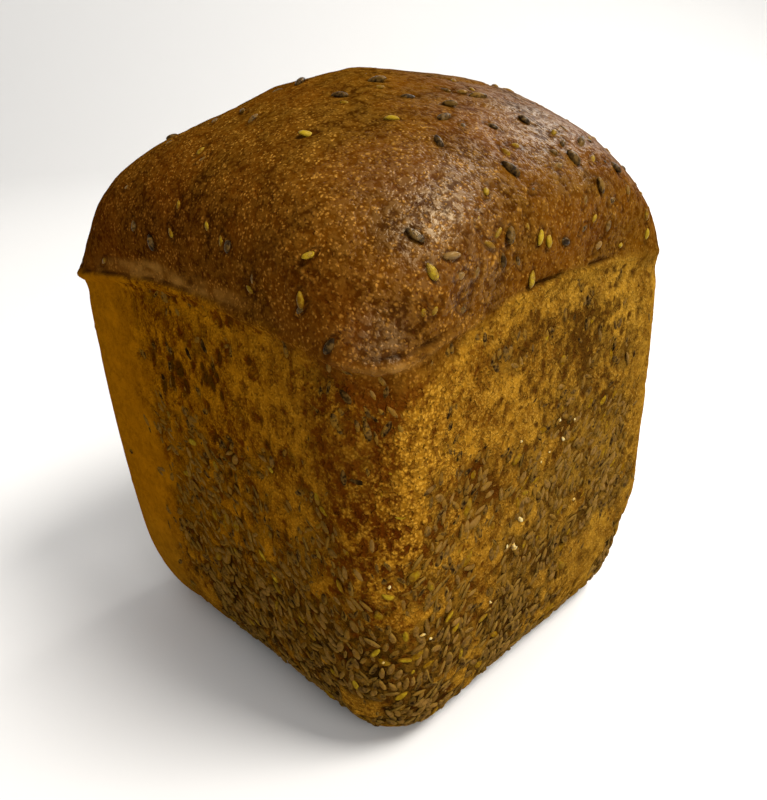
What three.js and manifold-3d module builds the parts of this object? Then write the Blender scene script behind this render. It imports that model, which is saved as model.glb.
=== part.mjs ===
// A wheat rye tin loaf whose dough was rolled in flax seeds before it was baked in a square, tapered tin.
// Up to the rim the loaf has the tin's form: four leaning walls, soft vertical corners and a rounded heel.
// Above the rim the dough rose free into a crown that is fuller on one side, and its edge hangs a little
// over the walls as a lip. The largest seeds stand proud of the crust as relief.
// Millimetres, +Z up, origin at the middle of the base.
import * as THREE from "three";
import { mergeVertices } from "three/addons/utils/BufferGeometryUtils.js";
import Module from "manifold-3d";

// The tin's inside
const RIM_LENGTH = 118.3; // along X, at the rim
const RIM_WIDTH = 109.9; // along Y, at the rim
const BASE_LENGTH = 111.9;
const BASE_WIDTH = 104.3;
const RIM_CORNER_RADIUS = 13.7;
const BASE_CORNER_RADIUS = 16.9;
const HEEL_INSET = 10.6; // how far the heel's curve draws the base in
const HEEL_HEIGHT = 27.4;

// The crust's lower edge, which is lowest at the corners
const RIM_HEIGHT = 101.8;
const RIM_RISE_X = 5.4; // more in the middle of the walls that face X
const RIM_RISE_Y = 6.2;
const LIP = 0.95; // how far the edge hangs out over the wall
const LIP_CHANGE = 0.35; // more at corner 3, less at corner 1
const LIP_ABOVE = 2.4; // how high up the lip fades
const LIP_BELOW = 1.5;
const TUCK = 0.5; // the groove under the lip
const TUCK_DROP = 4; // its middle, below the lip
const TUCK_SPREAD = 2.6;

// The crown
const CROWN_HEIGHT = 48.3; // above the rim's corners
const CROWN_FULLNESS = 1.257; // exponent of the plan scale
const CROWN_STEEPNESS = 0.3; // exponent of the height, lower for a steeper edge
const CROWN_ROUNDING = 0.868; // share of the plan that is round at the top
const CROWN_SHIFT_X = 1.5;
const CROWN_SHIFT_Y = -0.7;
const CROWN_LEAN_X = -0.018; // rise per mm across
const CROWN_LEAN_Y = 0.047;
const BELLY = 1.5; // bulge of the walls between base and rim

// Where the dough bulged or sank: the place on the crust, the radius and the height, below zero for a hollow
const SWELLINGS = [
  [-17, -9, 144, 5, 0.7],
  [-29, -20, 139, 10, -1.2],
  [-38, -45, 126, 12, 0.5],
  [-51, -53, 106, 6, 0.9],
  [56, 46, 109, 7, 0.4],
  [50, 38, 125, 10, -0.8],
  [16, 28, 141, 13, 1],
  [55, 46, 35, 9, 0.7],
  [55, 41, 21, 9, -1],
  [27, -46, 6, 12, 0.9],
  [24, -6, 140, 9, -0.8],
  [34, -34, 124, 11, 0.7],
  [8, -40, 122, 12, -0.6],
  [-20, 36, 136, 14, 0.8],
  [-46, 20, 122, 12, -0.7],
  [-56, 10, 60, 20, 0.8],
  [10, 54, 70, 18, -0.7],
];
const SWELLING_CENTRE = 60; // height of the point that the swellings point away from
const FLAT_BASE = 12; // no swelling on the base, and the full height above this

// The mesh
const CELLS = 24; // along each side of the loaf
const HEEL_ROWS = 6;
const WALL_ROWS = 6;
const RIM_ROWS = 6;
const RIM_BAND = 9; // height of the finely divided band under the rim
const CROWN_RINGS = [0.98, 0.955, 0.92]; // shares of the way down, for the rows above the rim
const PROFILE_STEPS = 400;

// The seeds
const SEED_LENGTH = 4.9;
const SEED_WIDTH = 2.4;
const SEED_HEIGHT = 1.5;
const SEED_SUNK = 0.28; // how deep the middle of a seed lies under the crust
const SEED_SIDES = 5;
const SEED_RINGS = 4;
const SEED_POINT = 0.75; // under 1 makes the blunt ends narrower
const CROWN_SEEDS = 57;
const WALL_SEEDS = 78;
const SEED_GAP = 6.2; // least distance between the middles of two seeds
const DRAW_START = 7;

const SIDES = 4; // side 0 faces +X, 1 +Y, 2 -X and 3 -Y
const QUARTER = Math.PI / 2;

const clamp = (x, low, high) => Math.min(high, Math.max(low, x));
const mix = (a, b, t) => a + (b - a) * t;
const bell = (x) => Math.exp(-x * x);

// A repeatable stream of numbers from 0 to 1.
function makeDraw(start) {
  let state = start;
  return () => {
    state = (state * 48271) % 2147483647;
    return state / 2147483647;
  };
}

// The point at a turn round a rounded rectangle, and the outward direction there. A turn of 0 to 4 goes round
// once. Whole turns are the middles of the corners' arcs, and between two of them the points are evenly spaced.
function outline(halfX, halfY, radius, turn) {
  const side = Math.floor(turn) % SIDES;
  const share = turn - Math.floor(turn);
  const [across, along] = side % 2 === 0 ? [halfX, halfY] : [halfY, halfX];
  const straight = 2 * (along - radius);
  const arc = (radius * QUARTER) / 2;
  const length = share * (straight + 2 * arc);
  const bend = (Math.min(length, arc) - arc + clamp(length - arc - straight, 0, arc)) / radius;
  const tangent = clamp(length - arc, 0, straight) - straight / 2 + radius * Math.sin(bend);
  const reach = across - radius + radius * Math.cos(bend);
  const facing = side * QUARTER;
  const [c, s] = [Math.cos(facing), Math.sin(facing)];
  return {
    x: reach * c - tangent * s,
    y: reach * s + tangent * c,
    out: [Math.cos(facing + bend), Math.sin(facing + bend)],
    fromMiddle: Math.abs(tangent) / along,
    side,
  };
}

// How high the crust's edge is at a place on the outline.
function rimHeight(place) {
  const rise = place.side % 2 === 0 ? RIM_RISE_X : RIM_RISE_Y;
  return RIM_HEIGHT + rise * (1 - clamp(place.fromMiddle, 0, 1) ** 2);
}

// How far the lip hangs out at a turn.
const lipAt = (turn) => LIP + LIP_CHANGE * Math.cos((turn - 3) * QUARTER);

// The point with the swellings round it added.
function swollen(point) {
  const away = point.clone().setZ(point.z - SWELLING_CENTRE).normalize();
  let height = 0;
  for (const [x, y, z, radius, rise] of SWELLINGS)
    height += rise * bell(point.distanceTo(new THREE.Vector3(x, y, z)) / radius);
  return point.addScaledVector(away, height * clamp(point.z / FLAT_BASE, 0, 1));
}

// A point of the wall: level 0 is the base's edge and level 1 the rim.
function wallPoint(turn, level) {
  const rise = level * RIM_HEIGHT;
  const curl = clamp(1 - rise / HEEL_HEIGHT, 0, 1);
  const inset = HEEL_INSET * (1 - Math.sqrt(1 - curl * curl));
  const belly = BELLY * Math.sin(Math.PI * level) - inset;
  const place = outline(
    mix(BASE_LENGTH, RIM_LENGTH, level) / 2 + belly,
    mix(BASE_WIDTH, RIM_WIDTH, level) / 2 + belly,
    mix(BASE_CORNER_RADIUS, RIM_CORNER_RADIUS, level) - inset * 0.6,
    turn,
  );
  const z = (rise * rimHeight(place)) / RIM_HEIGHT;
  const below = rimHeight(place) - z;
  const push = lipAt(turn) * bell(below / LIP_BELOW) - TUCK * bell((below - TUCK_DROP) / TUCK_SPREAD);
  return swollen(new THREE.Vector3(place.x + place.out[0] * push, place.y + place.out[1] * push, z));
}

// A point of the crown: scale 1 is the rim and scale 0 the top, and the plan gets rounder on the way up.
function crownPoint(turn, scale) {
  const rim = outline(RIM_LENGTH / 2, RIM_WIDTH / 2, RIM_CORNER_RADIUS, turn);
  const height = (1 - scale ** CROWN_FULLNESS) ** CROWN_STEEPNESS;
  const [halfX, halfY] = [(RIM_LENGTH / 2) * scale, (RIM_WIDTH / 2) * scale];
  const radius = mix(RIM_CORNER_RADIUS * scale, CROWN_ROUNDING * halfY, height);
  const place = outline(halfX, halfY, Math.max(radius, 1e-6), turn);
  const foot = rimHeight(rim);
  const z = mix(foot, RIM_HEIGHT + CROWN_HEIGHT, height);
  const lean = (place.x * CROWN_LEAN_X + place.y * CROWN_LEAN_Y) * height;
  const push = lipAt(turn) * bell((z - foot) / LIP_ABOVE);
  const x = place.x + CROWN_SHIFT_X * height + place.out[0] * push;
  const y = place.y + CROWN_SHIFT_Y * height + place.out[1] * push;
  return swollen(new THREE.Vector3(x, y, z + lean));
}

// The plan scale of the crown at an even share of the way, along the surface, from its top to the rim.
const crownScale = (() => {
  const travelled = [0];
  const scaleAt = (i) => 1 - ((PROFILE_STEPS - i) / PROFILE_STEPS) ** 3;
  for (let i = 1; i <= PROFILE_STEPS; i++) {
    const step = crownPoint(0.5, scaleAt(i)).distanceTo(crownPoint(0.5, scaleAt(i - 1)));
    travelled.push(travelled[i - 1] + step);
  }
  return (share) => {
    const wanted = share * travelled[PROFILE_STEPS];
    const i = clamp(travelled.findIndex((d) => d >= wanted), 1, PROFILE_STEPS);
    const part = (wanted - travelled[i - 1]) / (travelled[i] - travelled[i - 1]);
    return mix(scaleAt(i - 1), scaleAt(i), part);
  };
})();

// The turn and the share of the way out of a point (u, v) of the square from -1 to 1.
function squarePlace(u, v) {
  const share = Math.max(Math.abs(u), Math.abs(v));
  if (share < 1e-9) return { turn: 0, share: 0 };
  const [p, q] = [u / share, v / share];
  if (p >= 1 && q < 1) return { turn: (q + 1) / 2, share };
  if (q >= 1 && p > -1) return { turn: 1 + (1 - p) / 2, share };
  if (p <= -1 && q > -1) return { turn: 2 + (1 - q) / 2, share };
  return { turn: (3 + (p + 1) / 2) % SIDES, share };
}

// The levels of the wall's rows: close together at the heel and at the rim.
function wallLevels() {
  const levels = [];
  for (let i = 0; i < HEEL_ROWS; i++)
    levels.push((HEEL_HEIGHT * (1 - Math.cos((i / HEEL_ROWS) * QUARTER))) / RIM_HEIGHT);
  const [low, high] = [HEEL_HEIGHT / RIM_HEIGHT, 1 - RIM_BAND / RIM_HEIGHT];
  for (let i = 0; i < WALL_ROWS; i++) levels.push(mix(low, high, i / WALL_ROWS));
  for (let i = 0; i <= RIM_ROWS; i++) levels.push(mix(high, 1, i / RIM_ROWS));
  return levels;
}

// The loaf's crust as one closed surface: rows of points round the walls and the crown's foot, a square grid
// over the rest of the crown, and a flat base.
function crustGeometry() {
  const round = CELLS * SIDES;
  const turns = Array.from({ length: round }, (_, i) => i / CELLS);
  const rows = [
    ...wallLevels().map((level) => turns.map((turn) => wallPoint(turn, level))),
    ...CROWN_RINGS.map((share) => turns.map((turn) => crownPoint(turn, crownScale(share)))),
  ];
  const points = rows.flat();
  const faces = [];
  const quad = (a, b, c, d) => faces.push(a, b, c, a, c, d);
  for (let row = 0; row + 1 < rows.length; row++)
    for (let i = 0; i < round; i++) {
      const next = (i + 1) % round;
      quad(row * round + i, row * round + next, (row + 1) * round + next, (row + 1) * round + i);
    }
  const lastRow = (rows.length - 1) * round;
  const gridShare = CROWN_RINGS.at(-1);
  const index = [];
  for (let row = 0; row <= CELLS; row++)
    for (let column = 0; column <= CELLS; column++) {
      const { turn, share } = squarePlace((2 * column) / CELLS - 1, (2 * row) / CELLS - 1);
      if (share > 1 - 1e-9) {
        index.push(lastRow + (Math.round(turn * CELLS) % round));
      } else {
        index.push(points.length);
        points.push(crownPoint(turn, crownScale(share * gridShare)));
      }
    }
  for (let row = 0; row < CELLS; row++)
    for (let column = 0; column < CELLS; column++) {
      const at = row * (CELLS + 1) + column;
      quad(index[at], index[at + 1], index[at + CELLS + 2], index[at + CELLS + 1]);
    }
  const edge = points.slice(0, round).map((point) => new THREE.Vector2(point.x, point.y));
  for (const [a, b, c] of THREE.ShapeUtils.triangulateShape(edge, [])) faces.push(a, c, b);
  const geometry = new THREE.BufferGeometry().setFromPoints(points);
  geometry.setIndex(faces);
  return geometry;
}

// One seed lying along X on the plane z = 0: a flattened egg, pointed towards both ends.
function seedGeometry() {
  const geometry = new THREE.SphereGeometry(1, SEED_SIDES, SEED_RINGS);
  geometry.rotateZ(QUARTER);
  const position = geometry.getAttribute("position");
  for (let i = 0; i < position.count; i++) {
    const along = position.getX(i);
    const narrow = mix(1, 1 - along * along, 1 - SEED_POINT);
    position.setXYZ(i, along, position.getY(i) * narrow, position.getZ(i) * narrow);
  }
  geometry.scale(SEED_LENGTH / 2, SEED_WIDTH / 2, SEED_HEIGHT / 2);
  geometry.translate(0, 0, -SEED_SUNK);
  return geometry;
}

// How the surface lies at a place: its point, and its axes along it and out of it.
function surfaceFrame(pointAt, turn, level) {
  const step = 0.01;
  const point = pointAt(turn, level);
  const along = pointAt((turn + step) % SIDES, level).sub(point).normalize();
  const up = pointAt(turn, clamp(level - step, 0, 1)).sub(point);
  const out = along.clone().cross(up).normalize();
  if (out.dot(point.clone().sub(new THREE.Vector3(0, 0, RIM_HEIGHT / 2))) < 0) out.negate();
  return { point, along, across: out.clone().cross(along), out };
}

// Whether the side bears seeds there: the corners and a band under the rim stay nearly bare.
const wallBears = (turn, level, chance) => {
  const cornerShare = Math.abs(2 * (turn - Math.floor(turn)) - 1);
  const seeded = 1 - clamp((cornerShare - 0.6) / 0.3, 0, 1) * 0.75;
  const underRim = 1 - clamp((level - 0.72) / 0.2, 0, 1) * 0.8;
  return chance < seeded * underRim;
};

// The places of all seeds, drawn one after another and kept where they lie clear of the earlier ones.
function seedPlaces() {
  const draw = makeDraw(DRAW_START);
  const places = [];
  const keep = (place) => {
    if (places.some((other) => other.point.distanceTo(place.point) < SEED_GAP)) return 0;
    places.push({ ...place, heading: draw() * Math.PI });
    return 1;
  };
  for (let kept = 0; kept < CROWN_SEEDS; ) {
    const { turn, share } = squarePlace(2 * draw() - 1, 2 * draw() - 1);
    const scale = crownScale(clamp(share, 0.05, 0.92));
    kept += keep(surfaceFrame(crownPoint, turn, scale));
  }
  for (let kept = 0; kept < WALL_SEEDS; ) {
    const [turn, level] = [draw() * SIDES, mix(0.07, 0.93, draw())];
    if (wallBears(turn, level, draw())) kept += keep(surfaceFrame(wallPoint, turn, level));
  }
  return places;
}

// The seed turned to its heading and stood on the crust.
function seedAt(place) {
  const along = place.along.clone().multiplyScalar(Math.cos(place.heading));
  along.addScaledVector(place.across, Math.sin(place.heading));
  const matrix = new THREE.Matrix4().makeBasis(along, place.out.clone().cross(along), place.out);
  return seedGeometry().applyMatrix4(matrix.setPosition(place.point));
}

const wasm = await Module();
wasm.setup();

// A closed geometry as a solid for joining.
function solidOf(geometry) {
  const bare = new THREE.BufferGeometry();
  bare.setAttribute("position", geometry.getAttribute("position"));
  if (geometry.index) bare.setIndex(geometry.index);
  const merged = mergeVertices(bare, 1e-4);
  return new wasm.Manifold(
    new wasm.Mesh({
      numProp: 3,
      vertProperties: new Float32Array(merged.getAttribute("position").array),
      triVerts: new Uint32Array(merged.index.array),
    }),
  );
}

function geometryOf(solid) {
  const { numProp, vertProperties, triVerts } = solid.getMesh();
  const positions = [];
  for (let i = 0; i < vertProperties.length; i += numProp)
    positions.push(vertProperties[i], vertProperties[i + 1], vertProperties[i + 2]);
  const geometry = new THREE.BufferGeometry();
  geometry.setAttribute("position", new THREE.Float32BufferAttribute(positions, 3));
  geometry.setIndex(Array.from(triVerts));
  return geometry;
}

// The loaf with its seeds fused on, moved so that the origin is the middle of its base.
function loafMesh() {
  const seeds = seedPlaces().map((place) => solidOf(seedAt(place)));
  const joined = seeds.reduce((loaf, seed) => loaf.add(seed), solidOf(crustGeometry()));
  const geometry = geometryOf(joined);
  geometry.computeBoundingBox();
  const middle = geometry.boundingBox.getCenter(new THREE.Vector3());
  geometry.translate(-middle.x, -middle.y, 0);
  geometry.computeVertexNormals();
  const crust = new THREE.MeshStandardMaterial({ color: 0x6e471c, roughness: 0.6, metalness: 0 });
  const mesh = new THREE.Mesh(geometry, crust);
  mesh.name = "loaf";
  return mesh;
}

const bread = new THREE.Group();
bread.add(loafMesh());

export default bread;
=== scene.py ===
import math

import bpy
import numpy as np
from bpy.props import FloatProperty, FloatVectorProperty, IntProperty, PointerProperty
from mathutils import Matrix


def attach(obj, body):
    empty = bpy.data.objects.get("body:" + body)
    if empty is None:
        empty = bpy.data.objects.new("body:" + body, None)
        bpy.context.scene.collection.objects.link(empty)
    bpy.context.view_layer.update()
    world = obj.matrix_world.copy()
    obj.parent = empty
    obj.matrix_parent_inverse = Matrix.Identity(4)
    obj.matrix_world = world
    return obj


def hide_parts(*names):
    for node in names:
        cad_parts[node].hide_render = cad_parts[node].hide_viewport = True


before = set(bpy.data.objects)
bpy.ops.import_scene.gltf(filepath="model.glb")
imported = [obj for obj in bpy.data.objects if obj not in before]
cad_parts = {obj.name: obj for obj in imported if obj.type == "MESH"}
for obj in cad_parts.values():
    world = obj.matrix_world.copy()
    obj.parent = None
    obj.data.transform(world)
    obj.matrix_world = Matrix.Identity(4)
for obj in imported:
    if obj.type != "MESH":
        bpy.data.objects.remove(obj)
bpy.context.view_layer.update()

bl_info = {
    "name": "Seeded tin loaf",
    "version": (1, 0, 0),
    "blender": (4, 5, 0),
    "location": "3D View > Sidebar > Loaf",
    "description": "Builds a wheat rye tin loaf with flax seeds in its crust",
    "category": "Add Mesh",
}

METRES = 0.001
QUARTER = math.pi / 2
TINY, NO_LENGTH, NO_RADIUS = 1e-9, 1e-12, 1e-6
STEP, STEP_SAMPLES = 0.01, 600  # for directions along a skin, and for even distances along it
SIDES = 4  # side 0 faces +X, 1 +Y, 2 -X and 3 -Y; turn 0 is the corner between sides 3 and 0

# The walls, as the tin shaped them
RIM_LENGTH, RIM_WIDTH = 118.3, 109.9
BASE_LENGTH, BASE_WIDTH = 111.9, 104.3
RIM_CORNER_RADIUS, BASE_CORNER_RADIUS = 13.7, 16.9
HEEL_INSET, HEEL_HEIGHT = 10.6, 27.4
BELLY = 1.5

# The rim, where the crown's crust ends in a lip over the walls
RIM_HEIGHT = 101.8
RIM_RISE_X, RIM_RISE_Y = 5.4, 6.2
LIP, LIP_CHANGE = 0.72, 0.3
LIP_ABOVE, LIP_BELOW = 2.4, 1.5
TUCK, TUCK_DROP, TUCK_SPREAD = 0.5, 4.0, 2.6
# How far the crown's skin goes on under the lip, how far it is inside the walls there, and how far the
# walls' top is drawn in
SKIRT, SKIRT_INSET, TOP_INSET = 3.5, 1.6, 3.0
LIP_WAVES = ((5, 0.2, 1.0), (9, 0.2, 4.0), (17, 0.12, 2.2))  # waves round the loaf, height and phase
# Where a groove parts the lip from the crown: the turn, half width in turns and depth
# The groove is also darkened in the crust's colour there: painted shade.
SEAMS = ((3.2, 0.42, 0.7), (0.53, 0.19, 1.5), (0.08, 0.1, 0.9), (1.5, 0.3, 0.5), (2.3, 0.3, 0.45))
SEAM_WIDTH, SEAM_ABOVE, SEAM_FULL = 0.5, 1.2, 0.45
# Where the form or the crust differs from the rest: the turn, half width in turns and strength
STRETCHES = {
    "left lip": (3.05, 0.14, 0.45), "near lip": (0.06, 0.16, -0.55), "near tuck": (0.05, 0.2, 0.8),
    "torn wall": (3.5, 0.42, 1.0), "whole crust": (0.09, 0.1, 0.6), "brown corner": (0.1, 0.17, 1.0),
    "brown flank": (3.93, 0.1, 1.0), "rusty flank": (3.95, 0.13, 0.8), "plain wall": (0.6, 0.35, 0.7),
    "rusty corner": (0.0, 0.11, 1.2), "shaded rust line": (3.5, 0.4, 1.0), "dusty band": (3.43, 0.22, 1.0),
    "dusty ridge": (0.065, 0.08, 1.0), "grainy corner": (0.05, 0.2, 0.82),
    "blistered crown": (3.75, 0.6, 1.0),
}

# The crown
CROWN_HEIGHT = 48.3
CROWN_FULLNESS, CROWN_STEEPNESS, CROWN_ROUNDING = 1.257, 0.3, 0.868
CROWN_SHIFT_X, CROWN_SHIFT_Y = 1.5, -0.7
CROWN_LEAN_X, CROWN_LEAN_Y = -0.018, 0.047

# Where the dough bulged or sank: the place on the crust, the radius and the height, below zero for a hollow
SWELLINGS = (
    (-17, -9, 144, 5, 0.7), (-29, -20, 139, 10, -1.2), (-38, -45, 126, 12, 0.5), (-51, -53, 106, 6, 0.9),
    (56, 46, 109, 7, 0.4), (50, 38, 125, 10, -0.8), (16, 28, 141, 13, 1), (55, 46, 35, 9, 0.7),
    (55, 41, 21, 9, -1), (27, -46, 6, 12, 0.9), (24, -6, 140, 9, -0.8), (34, -34, 124, 11, 0.7),
    (8, -40, 122, 12, -0.6), (-20, 36, 136, 14, 0.8), (-46, 20, 122, 12, -0.7), (-56, 10, 60, 20, 0.8),
    (10, 54, 70, 18, -0.7),
)
SWELLING_CENTRE, FLAT_BASE = 60, 12
CENTRE = (0.25, 0.25, 0)  # moves the middle of the base to the origin

# The camera that the photo was taken with, and the photo's size in pixels
CAMERA_AT = (153.96, -142.75, 158.43)
CAMERA_AZIMUTH, CAMERA_ELEVATION, CAMERA_ROLL = 46.48, 24.66, -3.29
CAMERA_FOCAL = 810.6
PHOTO_SIZE = (767, 800)
FAR_OFF = 1e4  # pixels, added to places that face away

# The seeds of the crown that stand out in the photo: pixel, heading in the picture in degrees, and kind
SEEN_SEEDS = (
    (310, 256, 38, "golden"), (432, 272, 125, "golden"), (452, 257, 8, "pale"), (416, 236, 145, "dark"),
    (307, 134, 10, "golden"), (392, 119, 160, "golden"), (200, 151, 60, "dull"), (178, 205, 75, "dull"),
    (170, 233, 120, "dull"), (206, 227, 100, "dull"), (221, 241, 80, "dull"), (300, 299, 90, "rusty"),
    (249, 290, 130, "dull"), (528, 225, 120, "dull"), (540, 237, 65, "golden"), (549, 241, 80, "golden"),
    (594, 219, 60, "dull"), (531, 279, 85, "golden"), (424, 311, 90, "dull"), (646, 214, 100, "dull"),
    (647, 233, 100, "golden"), (345, 102, 170, "dull"), (380, 86, 175, "rusty"), (439, 141, 100, "dark"),
    (450, 105, 175, "dark"), (478, 96, 20, "dark"), (462, 92, 160, "brown"), (524, 120, 140, "dark"),
    (574, 158, 130, "dark"), (558, 166, 40, "brown"), (510, 168, 150, "dark"), (615, 166, 130, "dark"),
    (340, 95, 165, "dark"), (377, 80, 170, "dark"), (152, 242, 130, "dark"), (202, 158, 20, "brown"),
    (600, 186, 120, "dark"), (628, 190, 110, "brown"), (585, 200, 60, "brown"), (437, 309, 60, "dull"),
    (278, 90, 15, "brown"), (170, 142, 40, "brown"), (462, 276, 20, "brown"), (490, 245, 160, "rusty"),
    (228, 246, 120, "dark"), (252, 283, 60, "brown"), (134, 224, 110, "brown"), (300, 309, 30, "brown"),
)
# Each kind of seed: its piece, its tone from dark to light, and on the crown its size and its depth in mm
SEED_KINDS = {
    "golden": ("golden", 0.65, 1.0, 0.86, 0.2), "dull": ("golden", 0.1, 0.5, 0.68, 0.34),
    "rusty": ("golden", 0.0, 0.1, 0.78, 0.3), "pale": ("brown", 0.9, 1.0, 1.05, 0.05),
    "brown": ("brown", 0.1, 1.0, 0.78, 0.34), "dark": ("brown", 0.0, 0.25, 0.98, 0.05),
    "sunk": ("brown", 0.0, 0.3, 0.8, 0.42),
}

# Seeds of the walls that stand out in the photo, in the same way
SEEN_WALL_SEEDS = (
    (346, 398, 125, "dark"), (188, 354, 115, "dark"), (204, 347, 110, "dark"), (359, 483, 175, "dark"),
    (401, 517, 170, "golden"), (388, 597, 150, "golden"), (449, 617, 60, "golden"), (406, 661, 170, "golden"),
    (402, 696, 40, "golden"), (340, 585, 120, "golden"), (407, 637, 100, "golden"), (433, 450, 80, "dark"),
    (262, 556, 90, "golden"), (581, 497, 45, "golden"), (430, 490, 10, "brown"), (358, 575, 120, "pale"),
    (336, 600, 150, "brown"), (372, 545, 90, "brown"), (344, 478, 80, "dark"), (284, 375, 130, "dark"),
)

# White crumbs on the walls in the photo: pixel and size
SEEN_CRUMBS = (
    (520, 519, 1.6), (514, 547, 2.3), (507, 546, 1.3), (521, 441, 1.0), (563, 439, 1.1), (574, 419, 1.0),
    (389, 587, 1.0), (490, 602, 1.1), (423, 635, 1.2), (431, 638, 0.9), (573, 499, 1.3), (541, 462, 0.8),
    (383, 663, 0.9), (549, 452, 0.9), (560, 420, 1.0),
)
# Further crumbs, anywhere on the walls: how many, and their sizes
MORE_CRUMBS, CRUMB_SIZES = 40, (0.5, 1.3)
CRUMB_SCALE, CRUMB_CELLS, CRUMB_HEADINGS, CRUMB_TILT = 0.8, (9, 3), (0, 6.3), (0.3, 0.0)
CRUMB_LUMPS, CRUMB_LUMP_SIZE, CRUMB_LUMP_SEEDS = 0.25, 0.7, (1, 2, 3)

# Stretches of the walls with few seeds: turn, height, half width in turns, half height and how bare it is
BARE_PATCHES = (
    (3.06, 60, 0.17, 80, 1), (3.28, 20, 0.09, 24, 0.8), (1.03, 66, 0.12, 60, 0.85),
    (2.02, 78, 0.11, 36, 0.75), (1.94, 30, 0.05, 20, 0.7), (0.1, 90, 0.09, 14, 0.85), (0, 66, 0.13, 34, 0.58),
    (0, 98, 0.12, 8, 0.85), (0.06, 66, 0.05, 14, 0.8), (0.04, 42, 0.05, 9, 0.7), (0.29, 45, 0.03, 10, 0.7),
    (0.24, 38, 0.03, 6, 0.6), (0.72, 24, 0.14, 14, 0.8), (0.62, 44, 0.07, 6, 0.6), (0.5, 66, 0.06, 4, 0.8),
    (0.74, 76, 0.08, 5, 0.8), (0.88, 50, 0.06, 34, 0.75), (3.78, 74, 0.06, 18, 0.62), (1.6, 84, 0.12, 9, 0.8),
    (2.55, 40, 0.08, 16, 0.8),
)
# Stretches where the bare crust is smooth, where the dough slid along the tin
SMOOTH_PATCHES = (
    (3.08, 55, 0.2, 75, 1), (0.97, 66, 0.09, 44, 0.6), (2.0, 80, 0.1, 36, 0.6), (0.72, 24, 0.1, 9, 0.35),
    (0.9, 50, 0.05, 30, 0.25),
)
# Darker stretches of the bare crust
DARK_PATCHES = (
    (0.6, 93, 0.14, 8, 1.0), (0.52, 80, 0.08, 10, 0.7), (0.3, 88, 0.05, 9, 0.5), (2.5, 85, 0.2, 9, 0.6),
)
PATCH_SOFTNESS = 0.45
# How bare the walls are elsewhere, low down and under the rim, and the strength, size and seed of its
# finest unevenness
BARE_LOW, BARE_HIGH, GRIT = 0.18, 0.42, (0.3, 2.2, 56)
# The crust's level in mm between the seeds, high up and near the base, and where it is bare
WEB_HIGH, WEB_LOW, BARE_LEVEL, HOLLOW_DEPTH = -0.26, -0.46, 0.14, 0.34

# The walls' hollows: spacing in mm, random seed, and smallest and largest radius as shares of the spacing
TEARS, HOLES, SMALL_HOLLOWS = (2.9, 84, 0.15, 0.72), (3.4, 85, 0.2, 0.64), (1.7, 86, 0.1, 0.5)
FRAY, FRAY_SIZE, FRAY_SEEDS = 0.8, 2.6, (80, 81, 82)
# The noise that makes each thing uneven: size of its features in mm, strength, first random seed and layers
NOISES = {
    "bareness": (14, 0.5, 40, 3), "fine bareness": (5, 0.7, 50, 2), "borders": (16, 0.06, 44, 3),
    "fine borders": (5, 0.05, 47, 2), "tear groups": (8, 1, 87, 3), "dark patches": (4, 0.6, 89, 3),
    "clouds": (12, 1, 88, 3), "lumps": (7, 0.2, 20, 2), "brown edge": (9, 3.4, 60, 3),
    "fine brown edge": (2.8, 2.6, 65, 3), "flank": (7, 1, 68, 3), "fine flank": (2.2, 0.6, 69, 3),
    "ridge line": (5, 0.9, 35, 3), "ridge gaps": (2.4, 1, 36, 2), "shaded rust line": (4, 1, 39, 3),
    "dust line": (6, 1, 34, 3), "dust streaks": (3.5, 1, 38, 2), "dust gaps": (6, 1, 33, 3),
    "seed waves": (26, 0.75, 90, 3), "crown seeds": (22, 0.8, 70, 3), "seam depth": (5, 1, 12, 2),
    "seam line": (7, 0.8, 14, 3), "bumps": (11, 0.32, 3, 3), "small bumps": (3.2, 0.2, 8, 3),
}
# The random seeds of the walls' seeds, the crown's seeds, their sizes and the crumbs
WALL_DRAW, CROWN_DRAW, SIZE_DRAW, CRUMB_DRAW = 11, 23, 31, 43

# Creases of the crown: start, bend and end seen from above, width and depth
CREASES = (
    ((14, 8), (26, 22), (14, 40), 1.1, 0.5),
    ((30, -2), (40, 8), (44, 26), 1.3, 0.35),
    ((-30, -30), (-14, -36), (4, -34), 1.6, 0.3),
    ((-40, 0), (-34, -16), (-22, -24), 1.5, 0.35),
    ((-10, 40), (4, 30), (8, 14), 1.4, 0.3),
)
CREASE_STEPS = 40
# Two circles seen from above, centre and radius, whose common part is where the crown's skin is smooth
STRETCHED = ((4, 6, 26), (36, 14, 26))
# Where the crown shines: place, radius and strength
GLOSS = ((52, -31, 127, 12, 0.7), (46, 12, 135, 16, 0.2), (55, -49, 108, 4.5, 1.0))

# The form of a seed of size 1: how pointed and how egg-shaped, and where its top and its bottom are
POINTED, EGG, SEED_TOP, SEED_BOTTOM = 0.3, 0.06, (0.02, 0, 0.5), (0, 0, -0.35)
SIZE_SPREAD, SIZE_LIMITS, LOWEST_SEED = 0.1, (0.75, 1.22), 0.02
# The seeds on the crown and in the walls: the points round each and its rings, how deep it lies in mm and
# how much that varies, its shape as shares of the seed's size, and how much it tilts and rolls
CROWN_SEED_CELLS, WALL_SEED_CELLS = (16, 4), (10, 2)
CROWN_SINK, CROWN_SINK_SPREAD, WALL_SINK, WALL_SINK_SPREAD = 0.08, 0.15, 0.58, 0.16
CROWN_SEED_SHAPE, WALL_SEED_SHAPE = (0.86, 1.0, 1.5), ((0.82, 1), (0.66, 1.1))
CROWN_SEED_TILT, WALL_SEED_TILT = (0.2, 0.3), (0.12, 0.42)
GOLDEN_WIDTH, GOLDEN_TONE = 1.2, 0.75  # the walls' golden seeds are wider and darker than their kinds say

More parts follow.
